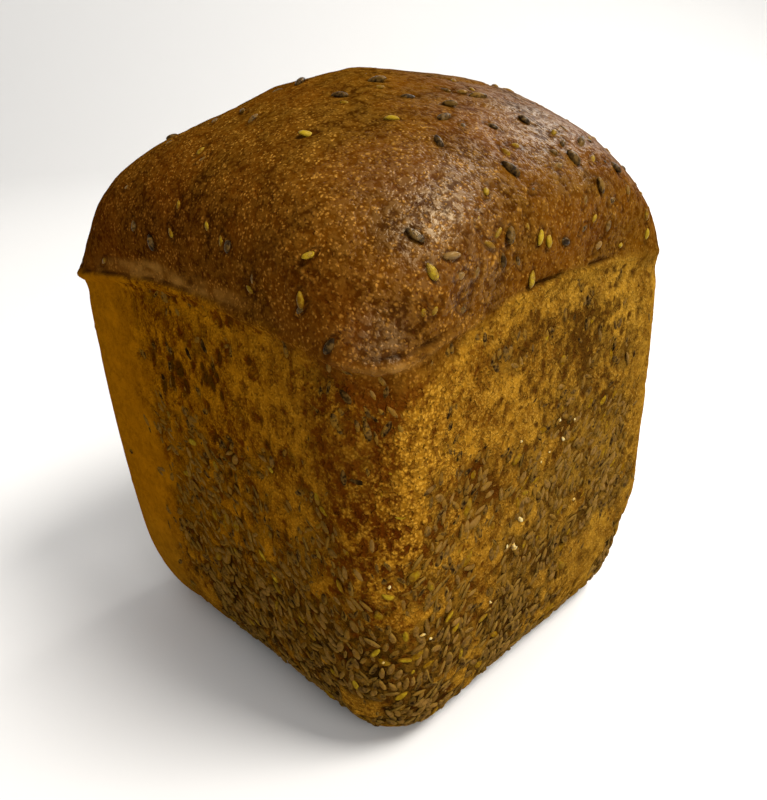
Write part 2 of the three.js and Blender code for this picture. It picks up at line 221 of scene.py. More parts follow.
# How the walls' seeds are laid: the way round the walls in mm, how they are turned and how they settle
WALL_AROUND = 424.0
HEADING_SPREAD, STRAY_SHARE, STRAY_ANGLE = 0.5, 0.28, 1.2
SETTLE_ROUNDS, SETTLE_PUSH, SETTLE_LIMIT = 14, 0.16, 0.6
SETTLE_LENGTH, SETTLE_WIDTH = 0.93, 0.86  # the room that a seed wants, as shares of its length and width
WALL_SEED_ENDS = (0.012, 0.985)  # the lowest and the highest place of a seed, as shares of the way up
SEEN_CLEARANCE = 2.4  # how near another seed may come to one that the photo shows
# The turns and the shares of the way up at which the camera's view of the walls is sampled, and how finely
SEEN_TURNS, SEEN_SHARES = (3.02, 4.98, 700), (0.02, 0.98, 300)

SLANT = 0.75  # of the walls' seeds towards the corners, in radians

# How the crown's seeds are laid: the grid of places for them, and the least distance between two
CROWN_GRID_EDGE, CROWN_GRID = 0.975, 340
CROWN_SEED_GAP = 3.2
QUIET_MIDDLE, QUIET_SIZE = (300, 220), (190, 110)  # where the photo shows hardly any, in pixels
QUIET, FAR_WAY = 0.97, (0.8, 0.55, 0)  # how few there, and the way to the far corner, where there are more
CROWN_KINDS = ("brown", "sunk", "sunk", "dark", "dull", "dull", "sunk", "rusty")
# The dent and the shadow round a seed of the crown: depth or darkness, and width as a share of the seed
DENT, DENT_WIDTH = 0.25, 0.25
DENT_SHADE, DENT_SHADE_WIDTH = 0.75, 0.2
DENT_REACH = 6
RIDGE = 0.6  # height of the crumbly ridge under the crown's near corner

# The materials: what the crust's grain gives, what each point of the crust and of a seed carries, how the
# grain's places are shaken and stretched, and the depths of the bumps in metres
GRAIN = ("Blister", "Pore", "Grain", "Gap", "Pit", "Cloud", "Patch", "Blotch", "Mottle", "Height",
         "Crown Height")
CRUST_VALUES = ("seeded", "smooth", "shade", "ochre", "dusty", "grainy", "warm", "rusty", "hollow", "gloss")
COAT_VALUES = ("Tone", "Edge", "Crusted", "Warm")
WOBBLE_SCALE, WOBBLE, PIT_STRETCH = 1100.0, (0.0008,) * 3, (1.0, 1.0, 0.7)
CRUST_BUMP, SEED_BUMP, CRUMB_BUMP = 0.0007, 0.00012, 0.0002
HIGHLIGHT_TINT = (1, 0.8, 0.5)
CROWN_ROUGHNESS, WALL_ROUGHNESS, SEED_ROUGHNESS = 0.36, 0.6, 0.32
CRUMB_ROUGHNESS, FLOOR_ROUGHNESS = 0.6, 0.8
SEED_SHINE = 0.6

# Each light: name, azimuth and elevation in degrees like the camera's, distance, power, size and colour
LIGHTS = (
    ("key", 115, 57, 1.6, 32, 0.6, (1, 0.96, 0.9)),
    ("side", 82, 24, 1.8, 12, 0.9, (1, 0.97, 0.92)),
    ("back", 184, 34, 1.25, 7, 0.5, (1, 0.96, 0.9)),
)
LIGHTS_AIM = (0, 0, 0.08)
WORLD_LIGHT = 0.4
# The floor, in metres: it bends up behind the loaf
FLOOR_FRONT, FLOOR_HALF_WIDTH = -3.0, 4
SWEEP_START, SWEEP_RADIUS, SWEEP_HEIGHT, SWEEP_STEPS = 0.9, 0.6, 2.0, 33
SENSOR_WIDTH, CLIP = 36, (0.01, 50)  # of the camera, in millimetres and in metres


def bell(x):
    return np.exp(-x * x)


def mix(a, b, t):
    return a + (b - a) * t


def ramp(x, low, high):
    """0 below low and 1 above high, with a smooth rise between them."""
    t = np.clip((x - low) / (high - low), 0, 1)
    return t * t * (3 - 2 * t)


def unit(vectors):
    return vectors / np.maximum(np.linalg.norm(vectors, axis=-1, keepdims=True), NO_LENGTH)


def gap_to(points, place):
    return np.linalg.norm(points - place, axis=-1)


def srgb(*levels):
    """A colour given as 0 to 255 screen levels, as the linear values that shaders work in."""
    shares = np.array(levels) / 255
    linear = np.where(shares <= 0.04045, shares / 12.92, ((shares + 0.055) / 1.055) ** 2.4)
    return tuple(float(value) for value in linear)


def crumb_noise(points, size, seed):
    """Random values on a cubic lattice with the given spacing, blended smoothly between the lattice's
    points. The result runs from -1 to 1."""
    draw = np.random.default_rng(seed)
    order = draw.permutation(256)
    values = draw.uniform(-1, 1, 256)
    cell = np.floor(points / size).astype(int)
    part = points / size - cell
    part = part * part * (3 - 2 * part)
    total = np.zeros(points.shape[:-1])
    for corner in np.ndindex(2, 2, 2):
        weight = np.prod(np.where(np.array(corner) == 1, part, 1 - part), axis=-1)
        x, y, z = np.moveaxis(cell + corner, -1, 0)
        total += weight * values[order[(order[(order[x & 255] + y) & 255] + z) & 255]]
    return total


def layered_noise(points, size, seed, layers):
    """The sum of crumb_noise at halving sizes, each half as strong as the one before."""
    return sum(crumb_noise(points, size / 2**i, seed + i) / 2**i for i in range(layers)) / 1.75


def noise(points, name):
    """The layered noise with the size, the strength and the seed that go with a name."""
    size, strength, seed, layers = NOISES[name]
    return strength * layered_noise(points, size, seed, layers)


def spots(points, size, seed, smallest, largest):
    """Round spots, one to a cell of a cubic lattice with the given spacing, at random places and with
    random radii given as shares of the spacing, mostly small: 1 in the middle of a spot and 0 away from
    them."""
    draw = np.random.default_rng(seed)
    order = draw.permutation(256)
    shifts, radii = draw.uniform(0.1, 0.9, (256, 3)), mix(smallest, largest, draw.uniform(0, 1, 256) ** 1.6)
    cell = np.floor(points / size).astype(int)
    inside = np.zeros(points.shape[:-1])
    for step in np.ndindex(3, 3, 3):
        near = cell + step - 1
        x, y, z = np.moveaxis(near, -1, 0)
        key = order[(order[(order[x & 255] + y) & 255] + z) & 255]
        far = np.linalg.norm(points / size - near - shifts[key], axis=-1) / radii[key]
        inside = np.maximum(inside, ramp(far, 1.45, 0.4))
    return inside


# The loaf's form

def tin_outline(half_x, half_y, radius, turn):
    """A rounded rectangle: a side's point runs evenly along half an arc, the straight and half an arc,
    while the turn goes from one whole number to the next. Gives x, y, the outward direction's x and y, how
    far along its half side the point is, and whether the side faces X."""
    turn = np.mod(turn, SIDES)
    side = np.floor(turn)
    faces_x = side % 2 == 0
    across, along = np.where(faces_x, half_x, half_y), np.where(faces_x, half_y, half_x)
    straight, arc = 2 * (along - radius), radius * QUARTER / 2
    length = (turn - side) * (straight + 2 * arc)
    bend = (np.minimum(length, arc) - arc + np.clip(length - arc - straight, 0, arc)) / radius
    tangent = np.clip(length - arc, 0, straight) - straight / 2 + radius * np.sin(bend)
    reach = across - radius + radius * np.cos(bend)
    facing = side * QUARTER
    c, s, middle_share = np.cos(facing), np.sin(facing), np.abs(tangent) / np.maximum(along, TINY)
    x, y = reach * c - tangent * s, reach * s + tangent * c
    return x, y, np.cos(facing + bend), np.sin(facing + bend), middle_share, faces_x


def rim_height(from_middle, faces_x):
    """The crust's edge is a parabola over each side, lowest at the corners."""
    rise = np.where(faces_x, RIM_RISE_X, RIM_RISE_Y)
    return RIM_HEIGHT + rise * (1 - np.clip(from_middle, 0, 1) ** 2)


def turns_from(turn, place):
    """How many turns a place is past another, from -2 to 2."""
    return np.mod(turn - place + 2, SIDES) - 2


def bell_round(turn, place, half, strength):
    """A bell round the loaf: its strength at a place, and less away from it."""
    return strength * bell(turns_from(turn, place) / half)


def stretch(turn, name):
    return bell_round(turn, *STRETCHES[name])


def lip_at(turn):
    """The overhang round the loaf: cosine waves, more at the left corner and less at the near one."""
    lip = LIP + LIP_CHANGE * np.cos((turn - 3) * QUARTER)
    lip = lip + stretch(turn, "left lip") + stretch(turn, "near lip")
    for waves, height, phase in LIP_WAVES:
        lip = lip + height * np.cos(waves * turn * QUARTER + phase)
    return lip


def seam_at(turn):
    """The depth of the groove above the lip: a bell round each of its stretches."""
    return sum(bell_round(turn, *seam) for seam in SEAMS)


def swollen(points):
    """The points with the swellings added: each is a bell round its place, and all push away from one
    centre."""
    away = unit(points - (0, 0, SWELLING_CENTRE))
    height = np.zeros(points.shape[:-1])
    for x, y, z, radius, rise in SWELLINGS:
        height += rise * bell(gap_to(points, (x, y, z)) / radius)
    height *= np.clip(points[..., 2] / FLAT_BASE, 0, 1)
    return points + away * height[..., None] + CENTRE


def wall_skin(turn, level, overhang=0.0, inset=0.0):
    """The wall at a level from 0, the base's edge, to 1, the rim. The plan is the tin's rounded rectangle,
    the heel is a quarter of an ellipse, and a groove runs under the lip."""
    rise = level * RIM_HEIGHT
    curl = np.clip(1 - rise / HEEL_HEIGHT, 0, 1)
    heel = HEEL_INSET * (1 - np.sqrt(1 - curl * curl))
    belly = BELLY * np.sin(np.pi * level) - heel
    x, y, out_x, out_y, from_middle, faces_x = tin_outline(
        mix(BASE_LENGTH, RIM_LENGTH, level) / 2 + belly,
        mix(BASE_WIDTH, RIM_WIDTH, level) / 2 + belly,
        mix(BASE_CORNER_RADIUS, RIM_CORNER_RADIUS, level) - heel * 0.6,
        turn,
    )
    edge = rim_height(from_middle, faces_x)
    z = rise * edge / RIM_HEIGHT
    below = edge - z
    push = overhang * lip_at(turn) * bell(below / LIP_BELOW) - inset
    push = push - TUCK * bell((below - TUCK_DROP) / TUCK_SPREAD) * (1 - stretch(turn, "near tuck"))
    return swollen(np.stack((x + out_x * push, y + out_y * push, z), axis=-1))


def crown_dome(turn, scale):
    """The crown at a plan scale from 1, the rim, to 0, the top. Its height is a rounded power curve of the
    scale, and its plan changes from the tin's to a rounder one on the way up."""
    edge = rim_height(*tin_outline(RIM_LENGTH / 2, RIM_WIDTH / 2, RIM_CORNER_RADIUS, turn)[4:])
    height = np.clip(1 - scale**CROWN_FULLNESS, 0, 1) ** CROWN_STEEPNESS
    half_x, half_y = RIM_LENGTH / 2 * scale, RIM_WIDTH / 2 * scale
    radius = np.maximum(mix(RIM_CORNER_RADIUS * scale, CROWN_ROUNDING * half_y, height), NO_RADIUS)
    x, y, out_x, out_y, _, _ = tin_outline(half_x, half_y, radius, turn)
    z = mix(edge, RIM_HEIGHT + CROWN_HEIGHT, height)
    push = lip_at(turn) * bell((z - edge) / LIP_ABOVE)
    z = z + (x * CROWN_LEAN_X + y * CROWN_LEAN_Y) * height
    x = x + CROWN_SHIFT_X * height + out_x * push
    y = y + CROWN_SHIFT_Y * height + out_y * push
    return swollen(np.stack((x, y, z), axis=-1))


def even_steps(skin, values):
    """The parameter values at even distances along the skin, as a function of the share of the way."""
    points = skin(np.full(len(values), 0.5), values)
    way = np.r_[0, np.cumsum(np.linalg.norm(np.diff(points, axis=0), axis=1))]
    return lambda share: np.interp(share, way / way[-1], values), way[-1]


CROWN_SCALE, CROWN_WAY = even_steps(crown_dome, 1 - np.linspace(1, 0, STEP_SAMPLES) ** 3)
WALL_LEVEL, WALL_WAY = even_steps(wall_skin, np.linspace(0, 1, STEP_SAMPLES) ** 2)


def crown_skin(turn, share):
    """The crown at a share of the way from its top, 0, to the rim, 1. Above 1 the skin goes on under the
    lip, down by SKIRT and in through the wall."""
    below = np.clip(share - 1, 0, None) * CROWN_WAY
    dome = crown_dome(turn, CROWN_SCALE(np.clip(share, 0, 1)))
    skirt = wall_skin(turn, 1 - below / RIM_HEIGHT, overhang=1.0, inset=SKIRT_INSET * (below / SKIRT) ** 2)
    return np.where((share > 1)[..., None], skirt, dome)


def square_place(u, v):
    """A point of the square from -1 to 1 as a turn and a share: squares round the middle become rows round
    the loaf."""
    share = np.maximum(np.abs(u), np.abs(v))
    p, q = u / np.maximum(share, TINY), v / np.maximum(share, TINY)
    end = 1 - TINY
    on_right, on_back, on_left = (p >= end) & (q < end), (q >= end) & (p > -end), (p <= -end) & (q > -end)
    turn = np.select(
        [on_right, on_back, on_left],
        [(q + 1) / 2, 1 + (1 - p) / 2, 2 + (1 - q) / 2],
        np.mod(3 + (p + 1) / 2, SIDES),
    )
    return turn, share


def lie_on(skin, turn, share, upward):
    """Where the skin is at a place, and its directions along, up and out: differences over a small step."""
    here = skin(turn, share)
    along = unit(skin(turn + STEP, share) - here)
    out = unit(np.cross(along, skin(turn, share + STEP * upward) - here))
    return {"at": here, "along": along, "up": np.cross(out, along), "out": out}


# The camera

def direction(azimuth, elevation):
    """The way to a place at an azimuth and an elevation in degrees. Azimuth 0 is -Y and 90 is +X."""
    a, e = np.radians((azimuth, elevation))
    return np.array((np.sin(a) * np.cos(e), -np.cos(a) * np.cos(e), np.sin(e)))


def camera_axes():
    """The camera's right, up and backward directions, from its azimuth, elevation and roll."""
    r = np.radians(CAMERA_ROLL)
    back, right = direction(CAMERA_AZIMUTH, CAMERA_ELEVATION), direction(CAMERA_AZIMUTH + 90, 0)
    up = np.cross(back, right)
    return right * np.cos(r) + up * np.sin(r), up * np.cos(r) - right * np.sin(r), back


def in_picture(points):
    """The pixels at which the camera sees the points."""
    right, up, back = camera_axes()
    away = points - (np.array(CAMERA_AT) + CENTRE)
    depth = -away @ back
    column = PHOTO_SIZE[0] / 2 + CAMERA_FOCAL * (away @ right) / depth
    row = PHOTO_SIZE[1] / 2 - CAMERA_FOCAL * (away @ up) / depth
    return np.stack((column, row), axis=-1)


# Where the crust is brown, bare or smooth, and where the seeds lie

def patchy(patches, turn, height, softness):
    """The strongest of the patches at a place, 0 to 1."""
    inside = np.zeros(np.shape(turn))
    for patch_turn, patch_height, half_turn, half_height, strength in patches:
        away = turns_from(turn, patch_turn) / half_turn
        far = np.hypot(away, (height - patch_height) / half_height)
        inside = np.maximum(inside, strength * ramp(far, 1 + softness, 1 - softness))
    return inside


def bareness(turn, height, points):
    """How bare the wall is, 0 to 1: the bare patches and the zone under the rim, with a very uneven
    edge."""
    bare = BARE_LOW + BARE_HIGH * ramp(height, 60, 88)
    bare = np.maximum(bare, patchy(BARE_PATCHES, strayed(turn, points), height, 0.5))
    uneven = noise(points, "bareness") + noise(points, "fine bareness")
    strength, size, seed = GRIT
    return np.clip(bare + uneven + strength * crumb_noise(points, size, seed), 0, 1)


def hollows(turn, height, points):
    """Hollows in the walls' crust, 0 on the web between them and 1 in them: groups of tears, taller than
    wide, on the side that faces -Y, round ones elsewhere, small ones everywhere, and darker stretches."""
    stray = [FRAY * layered_noise(points, FRAY_SIZE, seed, 2) for seed in FRAY_SEEDS]
    frayed = points + np.stack(stray, axis=-1)
    torn = stretch(turn, "torn wall")
    tears = spots(frayed * (1, 1, 0.65), *TEARS)
    tears = tears * mix(0.35, 1.2, ramp(noise(points, "tear groups"), -0.35, 0.25))
    holes, small = spots(frayed, *HOLES), spots(frayed * (1, 1, 0.8), *SMALL_HOLLOWS)
    hollow = np.maximum(mix(holes * 0.7, tears, torn), small * mix(0.7, 0.5, torn))
    dark = patchy(DARK_PATCHES, strayed(turn, points), height, 0.6)
    dark = dark * (0.85 + noise(points, "dark patches"))
    clouds = 0.75 * ramp(noise(points, "clouds"), 0.0, 0.6) * (1 - torn)
    hollow = np.maximum(hollow, np.maximum(0.8 * dark, clouds))
    return hollow * (1 - stretch(turn, "whole crust") * ramp(height, 60, 75))


def crust_level(points, height, bare, smooth, hollow):
    """How far the crust is above or below the wall's even form: low between seeds, most of all near the
    base, and lumpy."""
    lumps = noise(points, "lumps") - HOLLOW_DEPTH * (hollow - 0.3)
    low = mix(WEB_HIGH, WEB_LOW, ramp(height, 62, 14))
    return mix(low, BARE_LEVEL, ramp(bare, 0.22, 0.72)) + lumps * (1 - 0.85 * smooth)


def browning(turn, below, points):
    """0 where the crust is the crown's brown and 1 where it is the walls' ochre, at a distance below the
    rim. The change is sharp at the seam and wanders elsewhere, and brown runs down beside the near
    corner."""
    sharp = np.clip(seam_at(turn) / SEAM_FULL, 0, 1)
    wander = noise(points, "brown edge") + noise(points, "fine brown edge")
    corner = stretch(turn, "brown corner")
    sharp = sharp * (1 - corner)
    start = mix(0.5, -SEAM_ABOVE, sharp) + 3.5 * corner
    ochre = ramp((below - start + wander * (1 - 0.8 * sharp)) / mix(6.0, 1.0, sharp), -0.5, 0.8)
    near = stretch(turn, "brown flank") * ramp(below, 62, 8)
    patches = ramp(noise(points, "flank") + noise(points, "fine flank"), -0.25, 0.45)
    return ochre * (1 - 0.4 * near * patches)


def strayed(turn, points):
    """The turn with a wander added, so that borders drawn by it are uneven."""
    return turn + noise(points, "borders") + noise(points, "fine borders")


def corner_ridge(turn, below, points):
    """The crumbly ridge under the crown's near corner, 0 to 1: a bell across a wandering line below the
    rim."""
    ridge = bell((below - 0.7 + noise(points, "ridge line")) / 0.75) * stretch(turn, "dusty ridge")
    return ridge * ramp(noise(points, "ridge gaps"), -0.6, 0.0)


def crust_values(turn, below, points):
    """What the crust's material needs at each place: how ochre, smooth, rusty, dusty, grainy and warm it is.
    Rust lies high on the walls, at and beside the near corner and as a red stripe under the lip that is
    painted shade as well as rust, and dust as a band above the lip and on the near corner's ridge."""
    height = RIM_HEIGHT - below
    smooth = patchy(SMOOTH_PATCHES, strayed(turn, points), height, PATCH_SOFTNESS)
    rusty = np.maximum(0.35 * ramp(height, 40, 80), stretch(turn, "rusty flank") * ramp(height, 15, 60))
    rusty = rusty * (1 - stretch(turn, "plain wall"))
    rusty = np.maximum(rusty, stretch(turn, "rusty corner") * bell((height - 96) / 8))
    # A red stripe just under the lip, in the rust colour: painted shade under the lip as well as rust
    line = bell((below - 1.8 - noise(points, "shaded rust line")) / 1.1) * stretch(turn, "shaded rust line")
    rusty = np.maximum(rusty, 0.85 * line)
    band = ramp(np.abs(below + 3.1 + noise(points, "dust line")), 2.9, 1.0) * stretch(turn, "dusty band")
    band = band * ramp(noise(points * (1, 1, 3), "dust streaks"), -0.75, 0.1)
    band = band * ramp(noise(points, "dust gaps"), -0.7, 0.1)
    dusty = np.maximum(band, corner_ridge(turn, below, points))
    grainy = np.maximum(stretch(turn, "grainy corner") * ramp(height, 28, 55), 0.3)
    return {"ochre": browning(turn, below, points), "smooth": smooth, "rusty": rusty * (1 - smooth),
            "dusty": dusty, "grainy": grainy * (1 - smooth), "warm": warmth(turn, height)}


def warmth(turn, height):
    """How orange the walls' ochre is: most on the side that faces -Y, and everywhere less towards the
    base."""
    return (0.5 + 0.5 * np.cos((turn - 3.3) * QUARTER)) ** 2 * mix(0.55, 1, ramp(height, 5, 45))


def stretched_skin(points):
    """Where the crown's skin was stretched smooth, 0 to 1: inside both of two circles seen from above."""
    inside = [ramp(np.hypot(points[..., 0] - x, points[..., 1] - y), radius + 2, radius - 2)
              for x, y, radius in STRETCHED]
    return inside[0] * inside[1] * ramp(points[..., 2], 120, 130)


def glossiness(points):
    """How much the crown shines at a place, 0 to 1: bells round the places that the light catches."""
    gloss = [share * bell(gap_to(points, place) / size) for *place, size, share in GLOSS]
    return np.clip(sum(gloss), 0, 1)


def seen_places(skin, turn, share, upward, pixels):
    """The place on the skin that the camera sees at each pixel: the nearest of a grid of places that face
    it. The headings turn lines of the picture into lines of the skin."""
    places = lie_on(skin, turn, share, upward)
    columns = in_picture(places["at"])
    eye = np.array(CAMERA_AT) + CENTRE
    hidden = np.einsum("ij,ij->i", places["out"], eye - places["at"]) < 0
    right, up, _ = camera_axes()
    index, heading = [], []
    for column, row, angle, *_ in pixels:
        here = int((gap_to(columns, (column, row)) + FAR_OFF * hidden).argmin())
        line = right * math.cos(math.radians(angle)) + up * math.sin(math.radians(angle))
        index.append(here)
        heading.append(math.atan2(line @ places["up"][here], line @ places["along"][here]))
    return places, index, heading


def seen_on_walls(pixels):
    """The turns and the shares of the way up that the camera sees at each pixel of the walls, and the
    headings."""
    places = np.meshgrid(np.linspace(*SEEN_TURNS), np.linspace(*SEEN_SHARES))
    turn, share = (value.ravel() for value in places)
    _, index, heading = seen_places(wall_skin, turn, WALL_LEVEL(share), 1, pixels)
    return np.mod(turn[index], SIDES), share[index], heading


def flow(turn, height, points):
    """The way the wall's seeds point: they slant down towards the near and the far corner, as the rising
    dough drew them, stand upright under the rim, and turn with slow waves."""
    slant = QUARTER + SLANT * np.sign(np.mod(turn, 2) - 1) * np.sin(np.mod(turn, 1) * np.pi) ** 0.5
    slant = mix(slant, QUARTER, ramp(height, 70, 95))
    return slant + noise(points, "seed waves")


def settle(across, upward, heading, reach, around):
    """Seeds pushed apart until few lie on each other: each moves away from those near it in the lattice, in
    a measure that is long along the seed and short across it."""
    c, s = np.cos(heading), np.sin(heading)
    for _ in range(SETTLE_ROUNDS):
        move_x, move_y = np.zeros(across.shape), np.zeros(across.shape)
        for step in np.ndindex(5, 5):
            if step == (2, 2):
                continue
            shift = (step[0] - 2, step[1] - 2)
            x = np.mod(across - np.roll(across, shift, (0, 1)) + around / 2, around) - around / 2
            y = upward - np.roll(upward, shift, (0, 1))
            far = np.hypot((x * c + y * s) / reach[0], (y * c - x * s) / reach[1])
            push = np.clip(1 / np.maximum(far, 0.2) - 1, 0, 1.5) * SETTLE_PUSH
            move_x += x * push
            move_y += y * push
        across = across + np.clip(move_x, -SETTLE_LIMIT, SETTLE_LIMIT)
        upward = upward + np.clip(move_y, -SETTLE_LIMIT, SETTLE_LIMIT)
    return across, upward


def wall_seeds(loaf):
    """Seeds over the walls: a shaken lattice, settled, and left out where the wall is bare. Those that the
    photo shows clearly are laid where its camera sees them, and their bareness is -1: they lie clear of the
    crust."""
    draw = np.random.default_rng(WALL_DRAW)
    pitch = loaf.seed_spacing / METRES
    columns, rows = int(WALL_AROUND / pitch), int(WALL_WAY / pitch)
    across, upward = np.meshgrid(np.arange(columns) + 0.5, np.arange(rows) + 0.5)
    across = (across + draw.uniform(-0.5, 0.5, across.shape)) * WALL_AROUND / columns
    upward = (upward + draw.uniform(-0.5, 0.5, across.shape)) * WALL_WAY / rows
    at_first = wall_skin(across / WALL_AROUND * SIDES, WALL_LEVEL(upward / WALL_WAY))
    heading = flow(across / WALL_AROUND * SIDES, at_first[..., 2], at_first)
    heading = heading + draw.normal(0, HEADING_SPREAD, across.shape)
    stray = draw.uniform(0, 1, across.shape) < STRAY_SHARE
    heading += np.where(stray, draw.uniform(-STRAY_ANGLE, STRAY_ANGLE, across.shape), 0)
    length, width, _ = seed_size(loaf)
    room = (length * SETTLE_LENGTH, width * SETTLE_WIDTH)
    across, upward = settle(across, upward, heading, room, WALL_AROUND)
    turn, share = across.ravel() / WALL_AROUND * SIDES, np.clip(upward.ravel() / WALL_WAY, *WALL_SEED_ENDS)

    seen_turn, seen_share, seen_heading = seen_on_walls(SEEN_WALL_SEEDS)
    count = len(turn)
    kinds = np.full(count, "brown ")
    kinds[draw.uniform(0, 1, count) < loaf.golden_share] = "dull"
    kinds[draw.uniform(0, 1, count) < loaf.golden_share * 0.3] = "golden"
    gap_x = turns_from(turn[:, None], seen_turn) / SIDES * WALL_AROUND
    gap_y = (share[:, None] - seen_share) * WALL_WAY
    free = np.hypot(gap_x, gap_y).min(axis=1) > SEEN_CLEARANCE
    at_first = at_first.reshape(-1, 3)
    bare = bareness(turn, at_first[:, 2], at_first)
    smooth = patchy(SMOOTH_PATCHES, strayed(turn, at_first), at_first[:, 2], PATCH_SOFTNESS)
    keep = free & (draw.uniform(0, 1, count) > np.maximum(ramp(bare, 0.35, 0.85), smooth) * 0.97)
    turn, share = np.r_[turn[keep], seen_turn], np.r_[share[keep], seen_share]
    heading = np.r_[heading.ravel()[keep], seen_heading]
    bare = np.r_[bare[keep], np.full(len(seen_turn), -1)]
    kinds = np.r_[np.char.strip(kinds[keep]), np.array([kind for *_, kind in SEEN_WALL_SEEDS])]
    places = lie_on(wall_skin, turn, WALL_LEVEL(share), 1)
    return places, heading, kinds, bare, warmth(turn, places["at"][:, 2])


def crown_seeds(loaf):
    """The crown's seeds: those that stand out in the photo, where its camera sees them, and others drawn
    over the rest, more of them towards the far corner."""
    draw = np.random.default_rng(CROWN_DRAW)
    grid = np.linspace(-CROWN_GRID_EDGE, CROWN_GRID_EDGE, CROWN_GRID)
    turn, share = (value.ravel() for value in square_place(*np.meshgrid(grid, grid)))
    places, index, heading = seen_places(crown_skin, turn, share, -1, SEEN_SEEDS)
    kinds = [kind for *_, kind in SEEN_SEEDS]
    points = places["at"]
    quiet = ramp(np.hypot(*((in_picture(points) - QUIET_MIDDLE) / QUIET_SIZE).T), 1.2, 0.7)
    toward_far = ramp(points @ np.array(FAR_WAY), 5, 60)
    wanted = (0.18 + 1.2 * toward_far + 0.2 * ramp(share, 0.6, 0.95)) * (1 - QUIET * quiet)
    wanted = wanted * (1 + noise(points, "crown seeds"))
    for here in draw.permutation(len(turn)).tolist():
        if len(index) >= loaf.crown_seeds:
            break
        if draw.uniform() > wanted[here] * 0.5:
            continue
        if gap_to(points[index], points[here]).min() < CROWN_SEED_GAP:
            continue
        index.append(here)
        heading.append(draw.uniform(0, math.pi))
        kinds.append(CROWN_KINDS[draw.integers(len(CROWN_KINDS))])
    return lie_on(crown_skin, turn[index], share[index], -1), np.array(heading), np.array(kinds)


# Meshes

def grid_normals(points, closed):
    """Outward directions of a grid of points: the cross product of the steps along its columns and its
    rows."""
    if closed:
        along = np.roll(points, -1, axis=1) - np.roll(points, 1, axis=1)
    else:
        along = np.gradient(points, axis=1)
    return unit(np.cross(along, np.gradient(points, axis=0)))


def grid_quads(rows, columns, closed):
    """The four corners of each cell of a grid of points, counter-clockwise from outside."""
    across = columns if closed else columns - 1
    row, column = np.meshgrid(np.arange(rows - 1), np.arange(across), indexing="ij")
    next_column = (column + 1) % columns
    corners = (row * columns + column, row * columns + next_column)
    corners += ((row + 1) * columns + next_column, (row + 1) * columns + column)
    return np.stack(corners, axis=-1).reshape(-1, 4)


def add_object(name, data):
    thing = bpy.data.objects.new(name, data)
    bpy.context.scene.collection.objects.link(thing)
    return thing


def place_thing(thing, at, x_axis, y_axis, z_axis):
    axes = np.stack((x_axis, y_axis, z_axis), axis=1)
    thing.matrix_world = Matrix.Translation(at) @ Matrix(axes.tolist()).to_4x4()


def add_mesh(name, points, faces, material):
    """A mesh object with smooth faces, from points in metres."""
    mesh = bpy.data.meshes.new(name)
    mesh.from_pydata(points.reshape(-1, 3).tolist(), [], faces)
    mesh.shade_smooth()
    mesh.materials.append(material)
    if mesh.validate(verbose=False):
        raise RuntimeError(f"{name} has broken faces")
    return add_object(name, mesh)


def build_piece(name, points, faces, material, **values):
    """A mesh object from points in millimetres, with a named value at each point for its material. It rides
    on the loaf and stands for the loaf's plain solid."""
    piece = add_mesh(name, points * METRES, faces, material)
    for key, value in values.items():
        layer = piece.data.attributes.new(key, "FLOAT", "POINT")
        layer.data.foreach_set("value", np.ascontiguousarray(value, dtype=np.float32).ravel())
    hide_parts("loaf")
    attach(piece, "root")
    return piece


def seed_form(sides, rings):
    """A flax seed of length, width and thickness 1: a flat egg with its point at +X. The rim and the rings
    above it shrink by a quarter circle to the top, and one point closes it below."""
    around = np.arange(sides) / sides * 2 * np.pi
    x, y = np.cos(around) / 2, np.sin(around) / 2
    y = y * (1 - POINTED * np.clip(np.cos(around), 0, 1) ** 2) * (1 - EGG * np.cos(around))
    lift = np.arange(rings) / rings * QUARTER
    points = [np.stack((x * np.cos(t), y * np.cos(t), np.full(sides, np.sin(t) / 2)), -1) for t in lift]
    points = np.concatenate(points + [np.array([SEED_TOP, SEED_BOTTOM])])
    faces = grid_quads(rings, sides, True).tolist()
    top, bottom = len(points) - 2, len(points) - 1
    last = (rings - 1) * sides
    for i in range(sides):
        j = (i + 1) % sides
        faces.append([last + i, last + j, top])
        faces.append([j, i, bottom])
    return points, faces


def scatter(form, places, heading, size, sink, tilt, roll, draw):
    """One seed at each place, turned to its heading, tilted and rolled a little: its three axes are the
    skin's, turned and scaled. No seed goes below the base."""
    points, faces = form
    count = len(heading)
    c, s = np.cos(heading)[:, None], np.sin(heading)[:, None]
    along = places["along"] * c + places["up"] * s
    aside = np.cross(places["out"], along)
    out = unit(places["out"] + draw.normal(0, tilt, (count, 3)) + aside * draw.normal(0, roll, (count, 1)))
    across = unit(np.cross(out, along))
    along = np.cross(across, out)
    scale = draw.normal(1, SIZE_SPREAD, (count, 3)).clip(*SIZE_LIMITS) * size
    middle = places["at"] - places["out"] * sink[:, None]
    placed = (
        middle[None]
        + along[None] * (points[:, 0, None] * scale[:, 0])[..., None]
        + across[None] * (points[:, 1, None] * scale[:, 1])[..., None]
        + out[None] * (points[:, 2, None] * scale[:, 2])[..., None]
    )
    placed = placed.transpose(1, 0, 2).reshape(-1, 3)
    placed[:, 2] = np.maximum(placed[:, 2], LOWEST_SEED)
    starts = np.arange(count) * len(points)
    all_faces = [[corner + start for corner in face] for start in starts.tolist() for face in faces]
    edge = np.tile(1 - np.clip(points[:, 2] * 2, 0, 1), count)
    return placed, all_faces, edge


